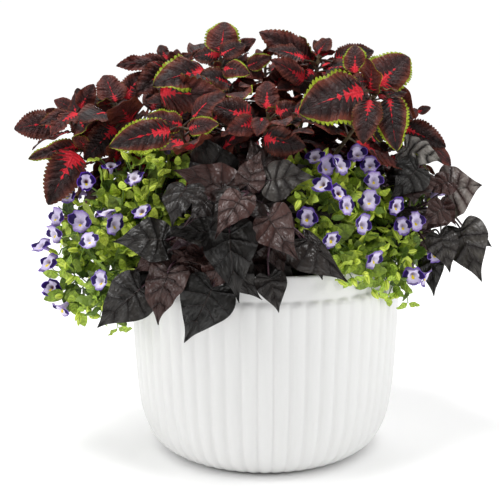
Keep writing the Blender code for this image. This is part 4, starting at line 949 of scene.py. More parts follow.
class Thicket:
    """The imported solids, so that added shoots keep clear of the leaves that show."""

    def __init__(self, *kinds):
        points, faces = [], []
        for name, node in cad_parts.items():
            if name.split("_")[0] in kinds:
                start = len(points)
                points += [vert.co.copy() for vert in node.data.vertices]
                faces += [tuple(start + i for i in face.vertices) for face in node.data.polygons]
        self.tree = BVHTree.FromPolygons(points, faces)

    def crossed(self, a, b):
        """Whether a solid lies between two points."""
        return self.tree.ray_cast(a, (b - a).normalized(), (b - a).length)[0] is not None

    def open(self, leaf):
        """Whether a leaf's midrib and two lines across it cross nothing."""
        ends = [(leaf.base + leaf.normal * 0.002, leaf.tip)]
        for t in (0.3, 0.7):
            left, right = surface(leaf, np.array((t, t)), np.array((-0.8, 0.8)))
            ends.append((Vector(left), Vector(right)))
        return not any(self.crossed(a, b) for a, b in ends)

    def hidden_by(self, leaf):
        """Whether a leaf would stand before a solid that shows, seen from the front."""
        for point in (leaf.base.lerp(leaf.tip, 0.15), leaf.base.lerp(leaf.tip, 0.55), leaf.tip):
            beyond = point + (point - EYE).normalized() * SCREEN
            if self.crossed(point, beyond) and not self.crossed(EYE, point):
                return True
        return False


def hides_flower(*points):
    """Whether points stand before a wishbone flower, seen from the front."""
    for plant in PLANTS:
        for bloom in plant.blooms:
            for point in points:
                ahead = (point - EYE).normalized()
                beyond = (bloom.at - EYE).dot(ahead)
                if (beyond > (point - EYE).length - 0.004
                        and (bloom.at - EYE - ahead * beyond).length < FLOWER_HALF):
                    return True
    return False


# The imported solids' corners, and how far past them an added leaf may reach
LOW, HIGH = (Vector(corner) for corner in CAD_BOX)
SPARE = 0.004


def inside_outline(point):
    """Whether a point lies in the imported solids' box, or just outside it, and under the crown's line."""
    ray = point - EYE
    ahead = ray.y * math.cos(EYE_TILT) - ray.z * math.sin(EYE_TILT)
    above = ray.y * math.sin(EYE_TILT) + ray.z * math.cos(EYE_TILT)
    x, y = AXIS_PIXEL + FOCAL_PIXELS * ray.x / ahead, LEVEL_PIXEL - FOCAL_PIXELS * above / ahead
    boxed = all(LOW[k] - SPARE < point[k] < HIGH[k] + SPARE for k in range(3))
    return boxed and y > np.interp(x, *zip(*CROWN))


def fits(leaf, thicket, shown):
    """Whether an added leaf keeps to the planting's outline, crosses nothing and hides nothing."""
    return inside_outline(leaf.tip) and thicket.open(leaf) and not shown.hidden_by(leaf)


# Where a tip's leaves would hang over the vine: below this height, and this far before the axis
OVER_VINE_HEIGHT, OVER_VINE_DEPTH = 0.405, 0.09


def tip_leaves(plant, thicket, shown):
    """The pairs of leaves that a coleus shoot's solid leaves out, small and young at its tip."""
    stem = plant.stem
    for pair in sorted(set(range(len(PAIR_SIZES))) - set(stem.pairs)):
        for way in (0, 1):
            draw = random.Random(f"{plant.name} more {pair} {way}")
            for leaf in paired_leaves(stem, plant.path, pair, way, draw):
                over = leaf.tip.z < OVER_VINE_HEIGHT and leaf.tip.y < -OVER_VINE_DEPTH
                if not over and fits(leaf, thicket, shown):
                    yield leaf
                    break


def more_leaves(plant, thicket):
    """Leaves of the photograph that the solids leave out, each with its tip's pixel."""
    for seen in MORE_LEAVES.get(plant.name, ()):
        for leaf in seen_leaves(plant.stem, plant.path, seen):
            if thicket.open(leaf):
                yield leaf, seen.tip
                break


# Leaves that fill a plant's inside: how far along the stem they start, shares of their size that their
# stalks are long at least and at most, and how much they droop
Shade = namedtuple("Shade", "start least most droop")
SHADES = {"coleus": Shade(0.35, 0.2, 0.9, 0.2), "vine": Shade(0.35, 0.4, 1.1, 0.8)}
SHADE_SIZE = 0.058
SHADE_TRIES = 14
# How low they may hang, anywhere and in front
LOWEST_SHADE = 0.205
LOWEST_FRONT = {"coleus": 0.425, "vine": 0.0}


def shade_leaves(plant, thicket, shown, count):
    """Leaves along a stem that close the plant's inside."""
    kind = plant.stem.plant
    habit, size = SHADES[kind], SHADE_SIZE
    draw = random.Random(f"{plant.name} shade")
    for i in range(count):
        root, axis = along(plant.path, habit.start + (1 - habit.start) * i / count)
        side = square_to(Vector((0.3, 1, 0.2)), axis)
        for _ in range(SHADE_TRIES):
            radial = Matrix.Rotation(GOLDEN_TURN * i + draw.uniform(-1.2, 1.2), 3, axis) @ side
            out = (radial + UP * draw.uniform(0, 0.6)).normalized()
            base = root + out * draw.uniform(habit.least, habit.most) * size
            chord = (out - UP * habit.droop * draw.uniform(0.5, 1.5)).normalized()
            tip = base + chord * size * draw.uniform(0.7, 1.15)
            normal = square_to(UP * 0.8 + radial * 0.4 + (EYE - base).normalized() * 0.6, chord)
            leaf = Leaf(kind, root, base, tip, normal, HABITS[kind].spread)
            low = min(tip.z, base.z) < LOWEST_FRONT[kind] and min(tip.y, base.y) < 0
            if tip.z > LOWEST_SHADE and not low and fits(leaf, thicket, shown):
                yield leaf
                break


# Twigs that hang where the photograph shows them: the pixel of the end, and millimetres before the axis
HANGING_TWIGS = {
    "torenia_01": ((100, 158, 62), (112, 150, 56)),
    "torenia_02": ((122, 152, 66), (142, 154, 72), (128, 160, 76), (150, 160, 78)),
    "torenia_08": ((150, 190, 110), (158, 176, 90), (152, 222, 130), (166, 190, 100), (158, 206, 112)),
    "torenia_10": ((104, 302, 128), (114, 316, 118), (118, 328, 112), (94, 290, 130), (88, 306, 110),
                   (100, 316, 105)),
    "torenia_06": ((66, 262, 90), (74, 276, 95), (62, 238, 85)),
    "torenia_11": ((62, 296, 85), (72, 302, 90), (54, 272, 85), (80, 312, 95)),
    "torenia_03": ((160, 160, 70), (178, 166, 85), (182, 178, 95), (138, 150, 78), (150, 172, 88),
                   (132, 166, 86)),
    "torenia_05": ((58, 206, 75), (56, 228, 80)),
    "torenia_15": ((300, 200, 150), (296, 184, 130), (314, 230, 150), (324, 244, 154)),
    "torenia_20": ((344, 264, 160), (352, 278, 152), (338, 280, 160)),
    "torenia_21": ((366, 274, 142), (372, 290, 132), (386, 280, 122), (356, 262, 150)),
    "torenia_22": ((398, 292, 100), (408, 303, 92), (396, 272, 112), (388, 296, 110)),
}
# A twig's leaf nodes: shares of its length, and millimetres that their leaves are long. Then how far apart
# they are on a long twig, and how long the leaves of its further nodes are
TWIG_NODES = ((0.35, 25), (0.7, 23), (1.0, 17))
NODE_GAP = 0.013
LONG_TWIG_LEAF = 24


def twigs(plant, thicket, others, count):
    """Side twigs of a wishbone spray: each its start and end, its leaves, and the ends of its pods."""
    draw = random.Random(f"{plant.name} twigs")
    runs = []
    for i in range(count):
        root, axis = along(plant.path, 0.34 + 0.66 * i / count)
        side = square_to(Vector((1, 0.3, 0.2)), axis)
        radial = Matrix.Rotation(GOLDEN_TURN * i + draw.uniform(-0.6, 0.6), 3, axis) @ side
        out = (radial + UP * 0.25 + (EYE - root).normalized() * 0.35).normalized()
        runs.append((root, root + out * draw.uniform(0.016, 0.040)))
    for spot in HANGING_TWIGS.get(plant.name, ()):
        end = sight(*spot)
        runs.append((nearest_on(plant.curve, end), end))
    for root, end in runs:
        out = (end - root).normalized()
        leaves = []
        more = max(int((end - root).length / NODE_GAP) - len(TWIG_NODES), 0)
        nodes = [*TWIG_NODES, *((0.3 + 0.6 * i / more, LONG_TWIG_LEAF) for i in range(more))]
        for k, (height, size) in enumerate(nodes):
            spot = root.lerp(end, height)
            for way in (0, 1):
                spin = math.pi * way + 1.57 * k + draw.uniform(-0.5, 0.5)
                spread = Matrix.Rotation(spin, 3, out) @ square_to(UP, out)
                chord = (spread + out * 0.45 + UP * 0.1).normalized()
                length = size / 1000 * draw.uniform(0.7, 1.25)
                normal = square_to(out + UP * 0.5 + (EYE - spot).normalized() * 0.5, chord)
                leaf = Leaf("torenia", spot, spot + chord * 0.001, spot + chord * length, normal,
                            draw.uniform(0.55, 0.72))
                over = leaf.base, leaf.base.lerp(leaf.tip, 0.5), leaf.tip
                if fits(leaf, thicket, others) and not hides_flower(*over):
                    leaves.append(leaf)
        pods = []
        for _ in range(draw.choice((0, 1, 1, 2))):
            way = out + Vector([draw.uniform(-0.8, 0.8) for _ in range(3)])
            tip = end + way.normalized() * draw.uniform(0.012, 0.018)
            if not hides_flower(tip, end):
                pods.append(tip)
        yield root, end, leaves, pods


def add(tree, kind, *inputs, out=0, **settings):
    """Adds a shader node, with its settings, and its inputs in order as links or values."""
    node = tree.nodes.new("ShaderNode" + kind)
    for name, value in settings.items():
        setattr(node, name, value)
    for socket, value in zip(node.inputs, inputs):
        if isinstance(value, bpy.types.NodeSocket):
            tree.links.new(value, socket)
        elif value is not None:
            socket.default_value = value
    return node.outputs[out]


def maths(operation, *inputs):
    """A Math node, in the tree that its inputs are in."""
    tree = next(value.id_data for value in inputs if isinstance(value, bpy.types.NodeSocket))
    return add(tree, "Math", *inputs, operation=operation)


# A product, a sum, a difference, and a value times a factor from a start
times = partial(maths, "MULTIPLY")
plus = partial(maths, "ADD")
minus = partial(maths, "SUBTRACT")
scaled = partial(maths, "MULTIPLY_ADD")


def ramp(value, low, high):
    """A smooth step from 0 at the low value to 1 at the high one."""
    return add(value.id_data, "MapRange", value, low, high, 0.0, 1.0, interpolation_type="SMOOTHSTEP")


def mix(share, a, b):
    """A mix of two colours, from a to b."""
    tree = share.id_data
    node = tree.nodes.new("ShaderNodeMix")
    node.data_type = "RGBA"
    sockets = {socket.identifier: socket for socket in (*node.inputs, *node.outputs)}
    tree.links.new(share, sockets["Factor_Float"])
    for name, colour in (("A_Color", a), ("B_Color", b)):
        if isinstance(colour, bpy.types.NodeSocket):
            tree.links.new(colour, sockets[name])
        else:
            sockets[name].default_value = (*colour[:3], 1)
    return sockets["Result_Color"]


def attribute(tree, name):
    """A value that each leaf or flower has of its own."""
    return add(tree, "Attribute", out=2, attribute_name=name)


def new_group(name, inputs, outputs):
    """An empty node group, with its inputs' defaults and its outputs' names."""
    tree = bpy.data.node_groups.new(name, "ShaderNodeTree")
    for label, value in inputs:
        socket = tree.interface.new_socket(label, in_out="INPUT", socket_type="NodeSocketFloat")
        socket.default_value = value
    for label in outputs:
        tree.interface.new_socket(label, in_out="OUTPUT", socket_type="NodeSocketFloat")
    return tree, tree.nodes.new("NodeGroupInput").outputs, tree.nodes.new("NodeGroupOutput").inputs


def vein_group():
    """Where on a blade a point is, how near it is to a vein, and how its skin puckers between veins."""
    tree, given, result = new_group("leaf_veins", (("Count", 9), ("Width", 0.15), ("Cells", 34)),
                                    ("Along", "Across", "Near", "Veins", "Pucker", "Swell"))
    place = add(tree, "UVMap", uv_map="UVMap")
    apart = add(tree, "SeparateXYZ", place).node
    along_leaf = apart.outputs[0]
    waver = maths("MULTIPLY", minus(add(tree, "TexNoise", place, None, 9.0, 3.0, 0.6), 0.5), 0.05)
    across = maths("ABSOLUTE", scaled(apart.outputs[1], 2.0, -1.0))
    period = maths("FRACT", times(plus(along_leaf, waver), given["Count"]))
    near = times(maths("ABSOLUTE", minus(period, 0.5)), 2.0)
    thin = times(given["Width"], scaled(across, -0.6, 1.0))
    side_veins = ramp(near, minus(1.0, thin), 1.0)
    midrib = ramp(across, 0.06, 0.015)
    stretched = add(tree, "Mapping", place, None, None, (1.0, 0.7, 1.0))
    pucker = add(tree, "TexVoronoi", stretched, None, given["Cells"], None, None, None, 0.7,
                 feature="SMOOTH_F1", voronoi_dimensions="2D")
    for label, value in (("Along", along_leaf), ("Across", across), ("Near", near),
                         ("Veins", maths("MAXIMUM", side_veins, midrib)),
                         ("Pucker", ramp(pucker, 0.75, 0.1)),
                         ("Swell", minus(1.0, times(near, near)))):
        tree.links.new(value, result[label])


def mottle_group():
    """Soft uneven patches in metres of the piece itself, about 0.5 in the middle."""
    tree, given, result = new_group("mottle", (("Scale", 60), ("Amount", 1)), ("Value",))
    place = add(tree, "TexCoord", out=3)
    patches = add(tree, "TexNoise", place, None, given["Scale"], 4.0, 0.6)
    swing = times(minus(patches, 0.5), given["Amount"])
    tree.links.new(plus(swing, 0.5), result["Value"])


def group_node(tree, group, **values):
    """A node group in a material, with its own values. Returns its outputs."""
    node = tree.nodes.new("ShaderNodeGroup")
    node.node_tree = bpy.data.node_groups[group]
    for name, value in values.items():
        node.inputs[name].default_value = value
    return node.outputs


def mottle(tree, scale, amount=2.0):
    """Soft uneven patches, about 0.5 in the middle."""
    return group_node(tree, "mottle", Scale=scale, Amount=amount)["Value"]


def on_surface(tree):
    """The two coordinates of a piece's UV map."""
    outputs = add(tree, "SeparateXYZ", add(tree, "UVMap", uv_map="UVMap")).node.outputs
    return outputs[0], outputs[1]


def darker(colour, share):
    """A darker tone of a colour."""
    return tuple(c * share for c in colour[:3])


def new_material(name, **values):
    """A material whose shader has some plain values. Returns it, its tree and its shader."""
    material = bpy.data.materials.new(name)
    material.use_nodes = True
    shader = material.node_tree.nodes["Principled BSDF"]
    for label, value in values.items():
        shader.inputs[label.replace("_", " ")].default_value = value
    return material, material.node_tree, shader


def bump(tree, shader, height, strength, distance):
    """Raises the shader's surface by a height."""
    node = add(tree, "Bump", strength, distance, None).node
    tree.links.new(height, node.inputs["Height"])
    tree.links.new(node.outputs["Normal"], shader.inputs["Normal"])


# A skin's form: pairs of side veins, cells along it, roughness, how strong its relief is, how much its
# side veins pleat it and cut into it, how quilted it is between them, and how fine its patches are
Skin = namedtuple("Skin", "veins cells gloss depth pleat cut quilt patch")
COLEUS_SKIN = Skin(9, 26, 0.52, 0.60, 1.0, 0.9, 0.5, 60)
VINE_SKIN = Skin(6, 18, 0.34, 1.0, 2.2, 1.2, 0.34, 26)
WISHBONE_SKIN = Skin(4, 9, 0.50, 0.40, 0.8, 0.6, 0.5, 80)
# How high the relief of a leaf stands, the rust of an old coleus leaf's rim, and a silvery leaf's painted
# sheen
LEAF_RELIEF = 0.0018
RUST = (0.28, 0.06, 0.015)
PAINTED_SHEEN_COLOUR = (0.32, 0.30, 0.27)
# Tones that the settings leave out: the veins above, the underside's dark, light and veins, and the
# stem's dark and light
Tones = namedtuple("Tones", "vein under stem")
COLEUS_TONES = Tones((0.085, 0.012, 0.014),
                     ((0.07, 0.012, 0.012), (0.19, 0.045, 0.022), (0.24, 0.08, 0.05)),
                     ((0.03, 0.012, 0.010), (0.10, 0.07, 0.025)))
VINE_TONES = Tones((0.045, 0.028, 0.024),
                   ((0.022, 0.010, 0.014), (0.055, 0.030, 0.036), (0.09, 0.045, 0.055)),
                   ((0.022, 0.010, 0.014), (0.08, 0.03, 0.045)))
WISHBONE_TONES = Tones((0.20, 0.36, 0.05),
                       ((0.10, 0.20, 0.04), (0.24, 0.38, 0.08), (0.34, 0.50, 0.15)),
                       ((0.10, 0.20, 0.03), (0.25, 0.40, 0.06)))
SOIL_TONES = ((0.010, 0.006, 0.004), (0.045, 0.028, 0.018))
BARK_TONES = ((0.045, 0.022, 0.012), (0.13, 0.07, 0.04))
FOOT_GREY = (0.35, 0.33, 0.30)


def leaf_skin(name, dark, light, vein, form, **values):
    """What every leaf's skin has: a quilted pucker, veins, uneven tones and painted shade in its creases.
    Returns its parts.
    """
    material, tree, shader = new_material(name, **values)
    count, cells, gloss, depth, pleat, cut, quilt, patch = form
    marks = group_node(tree, "leaf_veins", Count=count, Cells=cells)
    patches = mottle(tree, patch)
    tone = attribute(tree, "tone")
    shift = plus(times(tone, 0.60), times(patches, 0.5))
    colour = mix(ramp(shift, 0.1, 1.0), dark, light)
    # Painted shade: the colour darkens in the creases between the puckers and along the veins
    crease_shade = scaled(marks["Pucker"], -0.4, 0.4)
    crease_shade = plus(crease_shade, scaled(marks["Swell"], -0.35, 0.35))
    colour = mix(crease_shade, colour, dark)
    colour = mix(times(marks["Veins"], 0.5), colour, vein)
    rough = plus(scaled(patches, 0.25, gloss - 0.12), times(crease_shade, 0.25))
    tree.links.new(rough, shader.inputs["Roughness"])
    height = minus(times(marks["Pucker"], quilt), times(marks["Veins"], cut))
    height = scaled(marks["Swell"], pleat, height)
    bump(tree, shader, scaled(patches, 0.3, height), depth, LEAF_RELIEF)
    return material, tree, shader, marks, patches, colour


def coleus_material(name, dark, light, vein, heart, lime, **values):
    """A coleus leaf's skin: a red heart that runs out along the veins, and lime scallops."""
    material, tree, shader, marks, patches, colour = leaf_skin(name, dark, light, vein, COLEUS_SKIN,
                                                               **values)
    margin, red = attribute(tree, "margin"), attribute(tree, "heart")
    rust = tuple(0.5 * a + 0.5 * b for a, b in zip(light, RUST))
    colour = mix(times(ramp(marks["Across"], 0.9, 0.0), 0.7), colour, dark)
    colour = mix(times(ramp(marks["Across"], 0.5, 1.0), scaled(margin, 0.4, 0.4)), colour, rust)
    vein_number = maths("ROUND", times(marks["Along"], 9.0))
    chance = add(tree, "TexWhiteNoise", None, plus(vein_number, times(red, 57.0)), noise_dimensions="1D")
    spike = times(maths("POWER", marks["Near"], 1.7), scaled(chance, 0.5, 0.1))
    broad = scaled(ramp(marks["Along"], 0.55, 0.05), 0.22, 0.06)
    reach = times(ramp(marks["Along"], 0.85, 0.10), plus(spike, broad))
    reach = times(reach, scaled(red, 1.15, 0.15))
    reach = scaled(minus(patches, 0.5), 0.12, reach)
    inside = ramp(minus(reach, marks["Across"]), -0.01, 0.05)
    colour = mix(inside, colour, mix(patches, darker(heart, 0.5), heart))
    tooth = maths("FRACT", times(marks["Along"], float(OUTLINES["coleus"].teeth)))
    tooth = maths("SINE", times(tooth, math.pi))
    band = scaled(maths("POWER", tooth, 0.7), 0.12, 0.02)
    band = times(times(band, margin), scaled(marks["Along"], 0.8, 0.6))
    edge = minus(marks["Across"], minus(1.0, band))
    edge = scaled(minus(patches, 0.5), 0.06, edge)
    edge = times(ramp(edge, -0.015, 0.02), ramp(margin, 0.05, 0.3))
    colour = mix(edge, colour, mix(patches, darker(lime, 0.5), lime))
    tree.links.new(colour, shader.inputs["Base Color"])
    return material


def tinted_leaf_material(name, dark, light, vein, other, form, **values):
    """A plain leaf's skin, with another colour that its margin value brings in, and a painted sheen by its
    heart value.
    """
    material, tree, shader, marks, patches, colour = leaf_skin(name, dark, light, vein, form, **values)
    share = times(attribute(tree, "margin"), scaled(patches, 0.6, 0.55))
    share = times(share, scaled(marks["Veins"], -0.5, 1.0))
    colour = mix(share, colour, other)
    # Painted sheen: the heart value lightens the bulges between the veins towards a pale grey
    bloom = times(attribute(tree, "heart"), times(marks["Swell"], patches))
    tree.links.new(mix(bloom, colour, PAINTED_SHEEN_COLOUR), shader.inputs["Base Color"])
    return material


def plain_material(name, dark, light, roughness, scale=90.0, strength=0.3):
    """A stem's or the soil's skin: two tones in uneven patches, with grain."""
    material, tree, shader = new_material(name)
    patches = mottle(tree, scale)
    colour = mix(ramp(patches, 0.2, 0.8), dark, light)
    tree.links.new(colour, shader.inputs["Base Color"])
    tree.links.new(scaled(patches, 0.2, roughness - 0.1), shader.inputs["Roughness"])
    fine = mottle(tree, scale * 8)
    bump(tree, shader, plus(patches, fine), strength, 0.0006)
    return material


def tinted_materials(kind, settings, other, form, tones, **values):
    """The skins of a plant's leaves, above and below, and of its stem."""
    dark, light = getattr(settings, kind + "_dark"), getattr(settings, kind + "_light")
    return [tinted_leaf_material(kind + "_leaf", dark, light, tones.vein, other, form, **values),
            tinted_leaf_material(kind + "_under", *tones.under, other, form),
            plain_material(kind + "_stem", *tones.stem, 0.45)]


# Marks on a flower's face: shares of a turn round from its right, and half widths, then where they
# begin and end from its throat out, and how strong they are at least and with the flower's own heart
Mark = namedtuple("Mark", "turn wide inner outer least more")
DARK_MARKS = (Mark(0.02, 0.112, 0.35, 0.580, 0.97, 0.03), Mark(0.48, 0.112, 0.35, 0.580, 0.97, 0.03),
              Mark(0.25, 0.135, 0.44, 0.62, 0.0, 1.0), Mark(0.75, 0.080, 0.46, 0.60, 0.2, 0.8),
              Mark(0.0, 0.090, 0.68, 0.80, 0.6, 0.2), Mark(0.5, 0.090, 0.68, 0.80, 0.6, 0.2))
YELLOW_MARK = Mark(0.75, 0.070, 0.14, 0.32, 0.95, 0.05)


def petal_material(tones):
    """A wishbone flower's skin: pale lobes, dark blots, a yellow spot and a dusky throat."""
    material, tree, shader = new_material("torenia_petal", Roughness=0.8, Specular_IOR_Level=0.12)
    turn, ring = on_surface(tree)
    tone, chance = attribute(tree, "tone"), attribute(tree, "heart")
    patches = mottle(tree, 420, 1.6)
    waver = times(minus(patches, 0.5), 0.05)

    def blot(mark):
        """Where one of the marks is, and how strong."""
        offset = maths("FRACT", plus(turn, 1.5 - mark.turn))
        offset = maths("ABSOLUTE", minus(offset, 0.5))
        aside = maths("DIVIDE", plus(offset, waver), mark.wide)
        middle, half = (mark.inner + mark.outer) / 2, (mark.outer - mark.inner) / 2
        out = maths("DIVIDE", minus(ring, middle), half)
        far = plus(maths("POWER", maths("ABSOLUTE", aside), 3.0),
                   maths("POWER", maths("ABSOLUTE", out), 3.0))
        return times(ramp(far, 1.15, 0.75), scaled(chance, mark.more, mark.least))

    tint = plus(times(tone, 0.5), ramp(ring, 0.30, 0.62))
    colour = mix(scaled(patches, 0.5, scaled(tint, 0.6, -0.3)), tones.pale, tones.lilac)
    for mark in DARK_MARKS:
        colour = mix(blot(mark), colour, tones.violet)
    rim = times(ramp(ring, 0.51, 0.58), ramp(ring, 0.68, 0.64))
    colour = mix(times(rim, scaled(chance, 0.4, 0.5)), colour, tones.rim)
    dusk = times(ramp(ring, 0.30, 0.08), scaled(chance, 0.9, 0.1))
    colour = mix(blot(YELLOW_MARK), mix(dusk, colour, tones.throat), tones.yellow)
    tree.links.new(colour, shader.inputs["Base Color"])
    bump(tree, shader, patches, 0.2, 0.0005)
    return material


def calyx_material(dark, light):
    """A calyx's skin: pale green with darker wings."""
    material, tree, shader = new_material("torenia_calyx", Roughness=0.5)
    turn, _ = on_surface(tree)
    tone = attribute(tree, "tone")
    wave = maths("SINE", scaled(turn, CALYX_WINGS * math.tau, math.pi / 2))
    ribs = ramp(wave, 0.2, 1.0)
    colour = mix(scaled(ribs, 0.7, times(tone, 0.3)), light, dark)
    tree.links.new(colour, shader.inputs["Base Color"])
    bump(tree, shader, ribs, 0.2, 0.0006)
    return material


def pot_material(colour):
    """White satin resin: faint streaks of painted reflection, a fine orange peel, and patches darker near
    the foot.
    """
    material, tree, shader = new_material("pot_resin", Coat_Weight=0.15, Coat_Roughness=0.25)
    place = add(tree, "TexCoord", out=3)
    stretched = add(tree, "Mapping", place, None, None, (1.0, 1.0, 0.12))
    streaks = add(tree, "TexNoise", stretched, None, 60.0, 3.0, 0.55)
    height = add(tree, "SeparateXYZ", place, out=2)
    foot = ramp(height, 0.05, 0.0)
    patches = mottle(tree, 25, 1.2)
    # Towards the foot the colour turns a darker grey in uneven patches
    foot_darkening = times(foot, times(patches, 0.10))
    # The streaks also darken the colour a little, a painted streaky reflection
    shade = mix(times(streaks, 0.5), colour, darker(colour, 0.93))
    shade = mix(foot_darkening, shade, FOOT_GREY)
    tree.links.new(shade, shader.inputs["Base Color"])
    tree.links.new(scaled(streaks, 0.15, 0.27), shader.inputs["Roughness"])
    peel = mottle(tree, 900, 1.0)
    bump(tree, shader, peel, 0.05, 0.0004)
    return material


def swatch(name, description, default):
    """A colour that the user can change."""
    return FloatVectorProperty(name=name, description=description, subtype="COLOR", size=3, min=0, max=1,
                               default=default)


class PotSettings(bpy.types.PropertyGroup):
    """Sizes and colour of the pot and its soil."""

    ribs: IntProperty(name="Ribs", description="Upright ribs round the pot", default=FLUTES, min=12,
                      max=120)
    groove: FloatProperty(name="Groove", description="Depth of the grooves between the ribs",
                          default=FLUTE_DEPTH * 0.6, min=0, max=0.008, unit="LENGTH")
    colour: swatch("Pot", "Colour of the resin", (0.84, 0.84, 0.83))
    bark: IntProperty(name="Bark", description="Bits of bark on the soil", default=160, min=0, max=600)


class FoliageSettings(bpy.types.PropertyGroup):
    """How full the planting is, and the colours of its leaves."""

    shade_leaves: IntProperty(name="Shaded leaves", description="Extra leaves on each coleus shoot",
                              default=14, min=0, max=30)
    vine_leaves: IntProperty(name="Vine leaves", description="Extra leaves on each vine stem",
                             default=11, min=0, max=30)
    twigs: IntProperty(name="Twigs", description="Side twigs on each wishbone spray", default=19, min=0,
                       max=30)
    coleus_dark: swatch("Coleus dark", "Dark tone of the coleus leaf", (0.010, 0.004, 0.004))
    coleus_light: swatch("Coleus light", "Light tone of the coleus leaf", (0.145, 0.020, 0.015))
    coleus_heart: swatch("Coleus heart", "Feathered middle of the coleus leaf", (0.95, 0.022, 0.045))
    coleus_lime: swatch("Coleus margin", "Toothed margin of the coleus leaf", (0.38, 0.47, 0.015))
    vine_dark: swatch("Vine dark", "Dark tone of the vine leaf", (0.0022, 0.0019, 0.0016))
    vine_light: swatch("Vine light", "Light tone of the vine leaf", (0.022, 0.019, 0.016))
    vine_young: swatch("Vine young", "Young vine leaf", (0.072, 0.026, 0.021))
    torenia_dark: swatch("Wishbone dark", "Dark tone of the wishbone leaf", (0.009, 0.040, 0.004))
    torenia_light: swatch("Wishbone light", "Light tone of the wishbone leaf", (0.54, 0.84, 0.065))
    torenia_lime: swatch("Wishbone lime", "Young wishbone leaf and pod", (0.74, 0.86, 0.10))


class FlowerSettings(bpy.types.PropertyGroup):
    """Colours of the wishbone flowers."""

    pale: swatch("Pale", "Palest part of the petals", (0.78, 0.73, 0.90))
    lilac: swatch("Lilac", "Lilac part of the petals", (0.34, 0.20, 0.62))
    violet: swatch("Violet", "Dark blots", (0.014, 0.003, 0.075))
    rim: swatch("Rim", "Edges of the lobes", (0.10, 0.03, 0.42))
    yellow: swatch("Yellow", "Spot at the throat", (0.90, 0.72, 0.02))
    throat: swatch("Throat", "Inside of the flower's tube", (0.10, 0.02, 0.03))


class StageSettings(bpy.types.PropertyGroup):
    """The light of the studio."""

    key: FloatProperty(name="Key", description="Power of the light above", default=25, min=0, unit="POWER")
    side: FloatProperty(name="Sides", description="Power of each light beside", default=8, min=0,
                        unit="POWER")
    sky: FloatProperty(name="Sky", description="Strength of the white surroundings", default=0.32, min=0)
    glow: FloatProperty(name="Glow", description="Light that the far floor gives off", default=0.72, min=0)


class SceneOperator:
    """What every step has in common."""

    bl_options = {"REGISTER", "UNDO"}


def at_rings(template, rings):
    """Which ring each corner of a turned form is on, and that ring's values."""
    ring = np.round(template.along * (len(rings) - 1)).astype(int)
    return ring, np.array(rings).T[:, ring]


def turned(template, radius, height):
    """The corners of a turned form."""
    return np.column_stack([np.cos(template.across) * radius, np.sin(template.across) * radius, height])


class PLANTER_OT_pot(SceneOperator, bpy.types.Operator):
    """Turns the ribbed pot from its profile"""

    bl_idname = "planter.pot"
    bl_label = "Pot"

    def execute(self, context):
        settings = context.scene.planter_pot
        side = smooth_through(POT_SIDE, np.linspace(0, 1, SIDE_RINGS))
        rings = [*((r, z, 1) for r, z in side), *RIM_RINGS, *((r, z, 0) for r, z in LINER_RINGS[-2::-1])]
        template = rod_template("pot_rings", len(rings) - 1, settings.ribs * RIB_CORNERS)
        ring, (radius, height, ribbed) = at_rings(template, rings)
        rib = np.abs(np.cos(template.across * settings.ribs / 2)) ** 0.8
        radius = radius - settings.groove * ribbed * (1 - rib)
        arched = (ring > ARCHED_RINGS[0]) & (ring < ARCHED_RINGS[1])
        height = height - ARCH * (1 - rib) * arched * ribbed ** 0.5
        piece = Piece()
        piece.add(template, turned(template, radius, height))
        piece.finish("pot_shell", [pot_material(settings.colour)], "pot", "pot")
        return {"FINISHED"}


class PLANTER_OT_soil(SceneOperator, bpy.types.Operator):
    """Fills the pot with crumbly soil and bark"""

    bl_idname = "planter.soil"
    bl_label = "Soil"

    def execute(self, context):
        settings = context.scene.planter_pot
        rings = [(radius - SEAT_GAP * 1.5, height + SEAT_GAP) for radius, height in LINER_RINGS[:-1]]
        below = len(rings)
        for i in range(SOIL_RINGS):
            share = i / SOIL_RINGS
            rings.append((SOIL_EDGE * math.sqrt(1 - share), SOIL_LEVEL + SOIL_CROWN * share))
        template = rod_template("soil_rings", len(rings) - 1, SOIL_CORNERS)
        ring, (radius, height) = at_rings(template, rings)
        points = turned(template, radius, height)
        for i in np.flatnonzero(ring >= below):
            points[i, 2] += sum(rise * noise.noise(Vector(points[i]) * count) for count, rise in CLODS)
        piece = Piece()
        piece.add(template, points)
        chip = rod_template("chip_rings", 2, 6)
        draw = random.Random("bark")
        for _ in range(settings.bark):
            turn, reach = draw.uniform(0, math.tau), BARK_REACH * math.sqrt(draw.random())
            place = Vector((math.cos(turn) * reach, math.sin(turn) * reach, SOIL_LEVEL + SOIL_CROWN * 0.8))
            swing = Matrix.Rotation(draw.uniform(0, math.tau), 3, "Z")
            lie = swing @ Vector((1, 0, draw.uniform(-0.4, 0.4)))
            size = draw.uniform(*BARK_SIZES)
            path = [place - lie * size, place, place + lie * size]
            radii = [size * 0.2, size * draw.uniform(0.35, 0.6), size * 0.15]
            piece.add(chip, tube_points(chip, path, radii), 1, (draw.random(), 0, 0))
        soil = plain_material("potting_soil", *SOIL_TONES, 0.95, 120.0, 0.9)
        bark = plain_material("bark", *BARK_TONES, 0.85, 200.0, 0.6)
        piece.finish("soil_bed", [soil, bark], "soil", "soil")
        return {"FINISHED"}


# Radii of the stalks of large coleus leaves, large vine leaves and all others
COLEUS_STALK = 0.0014
VINE_STALK = 0.0013
THIN_STALK = 0.0012


def add_leaf(piece, plant, leaf, templates, radius, looks, phase, shape=(1, 1, 1)):
    """Adds a blade with its stalk."""
    blade, stalk = templates
    piece.add(blade, blade_points(leaf, blade, phase, shape), 0, looks)
    root = nearest_on(plant.curve, leaf.root)
    piece.add(stalk, petiole_points(stalk, root, leaf, radius), 2, looks)


# How much thinner a stem is at its top
STEM_TAPER = 0.42


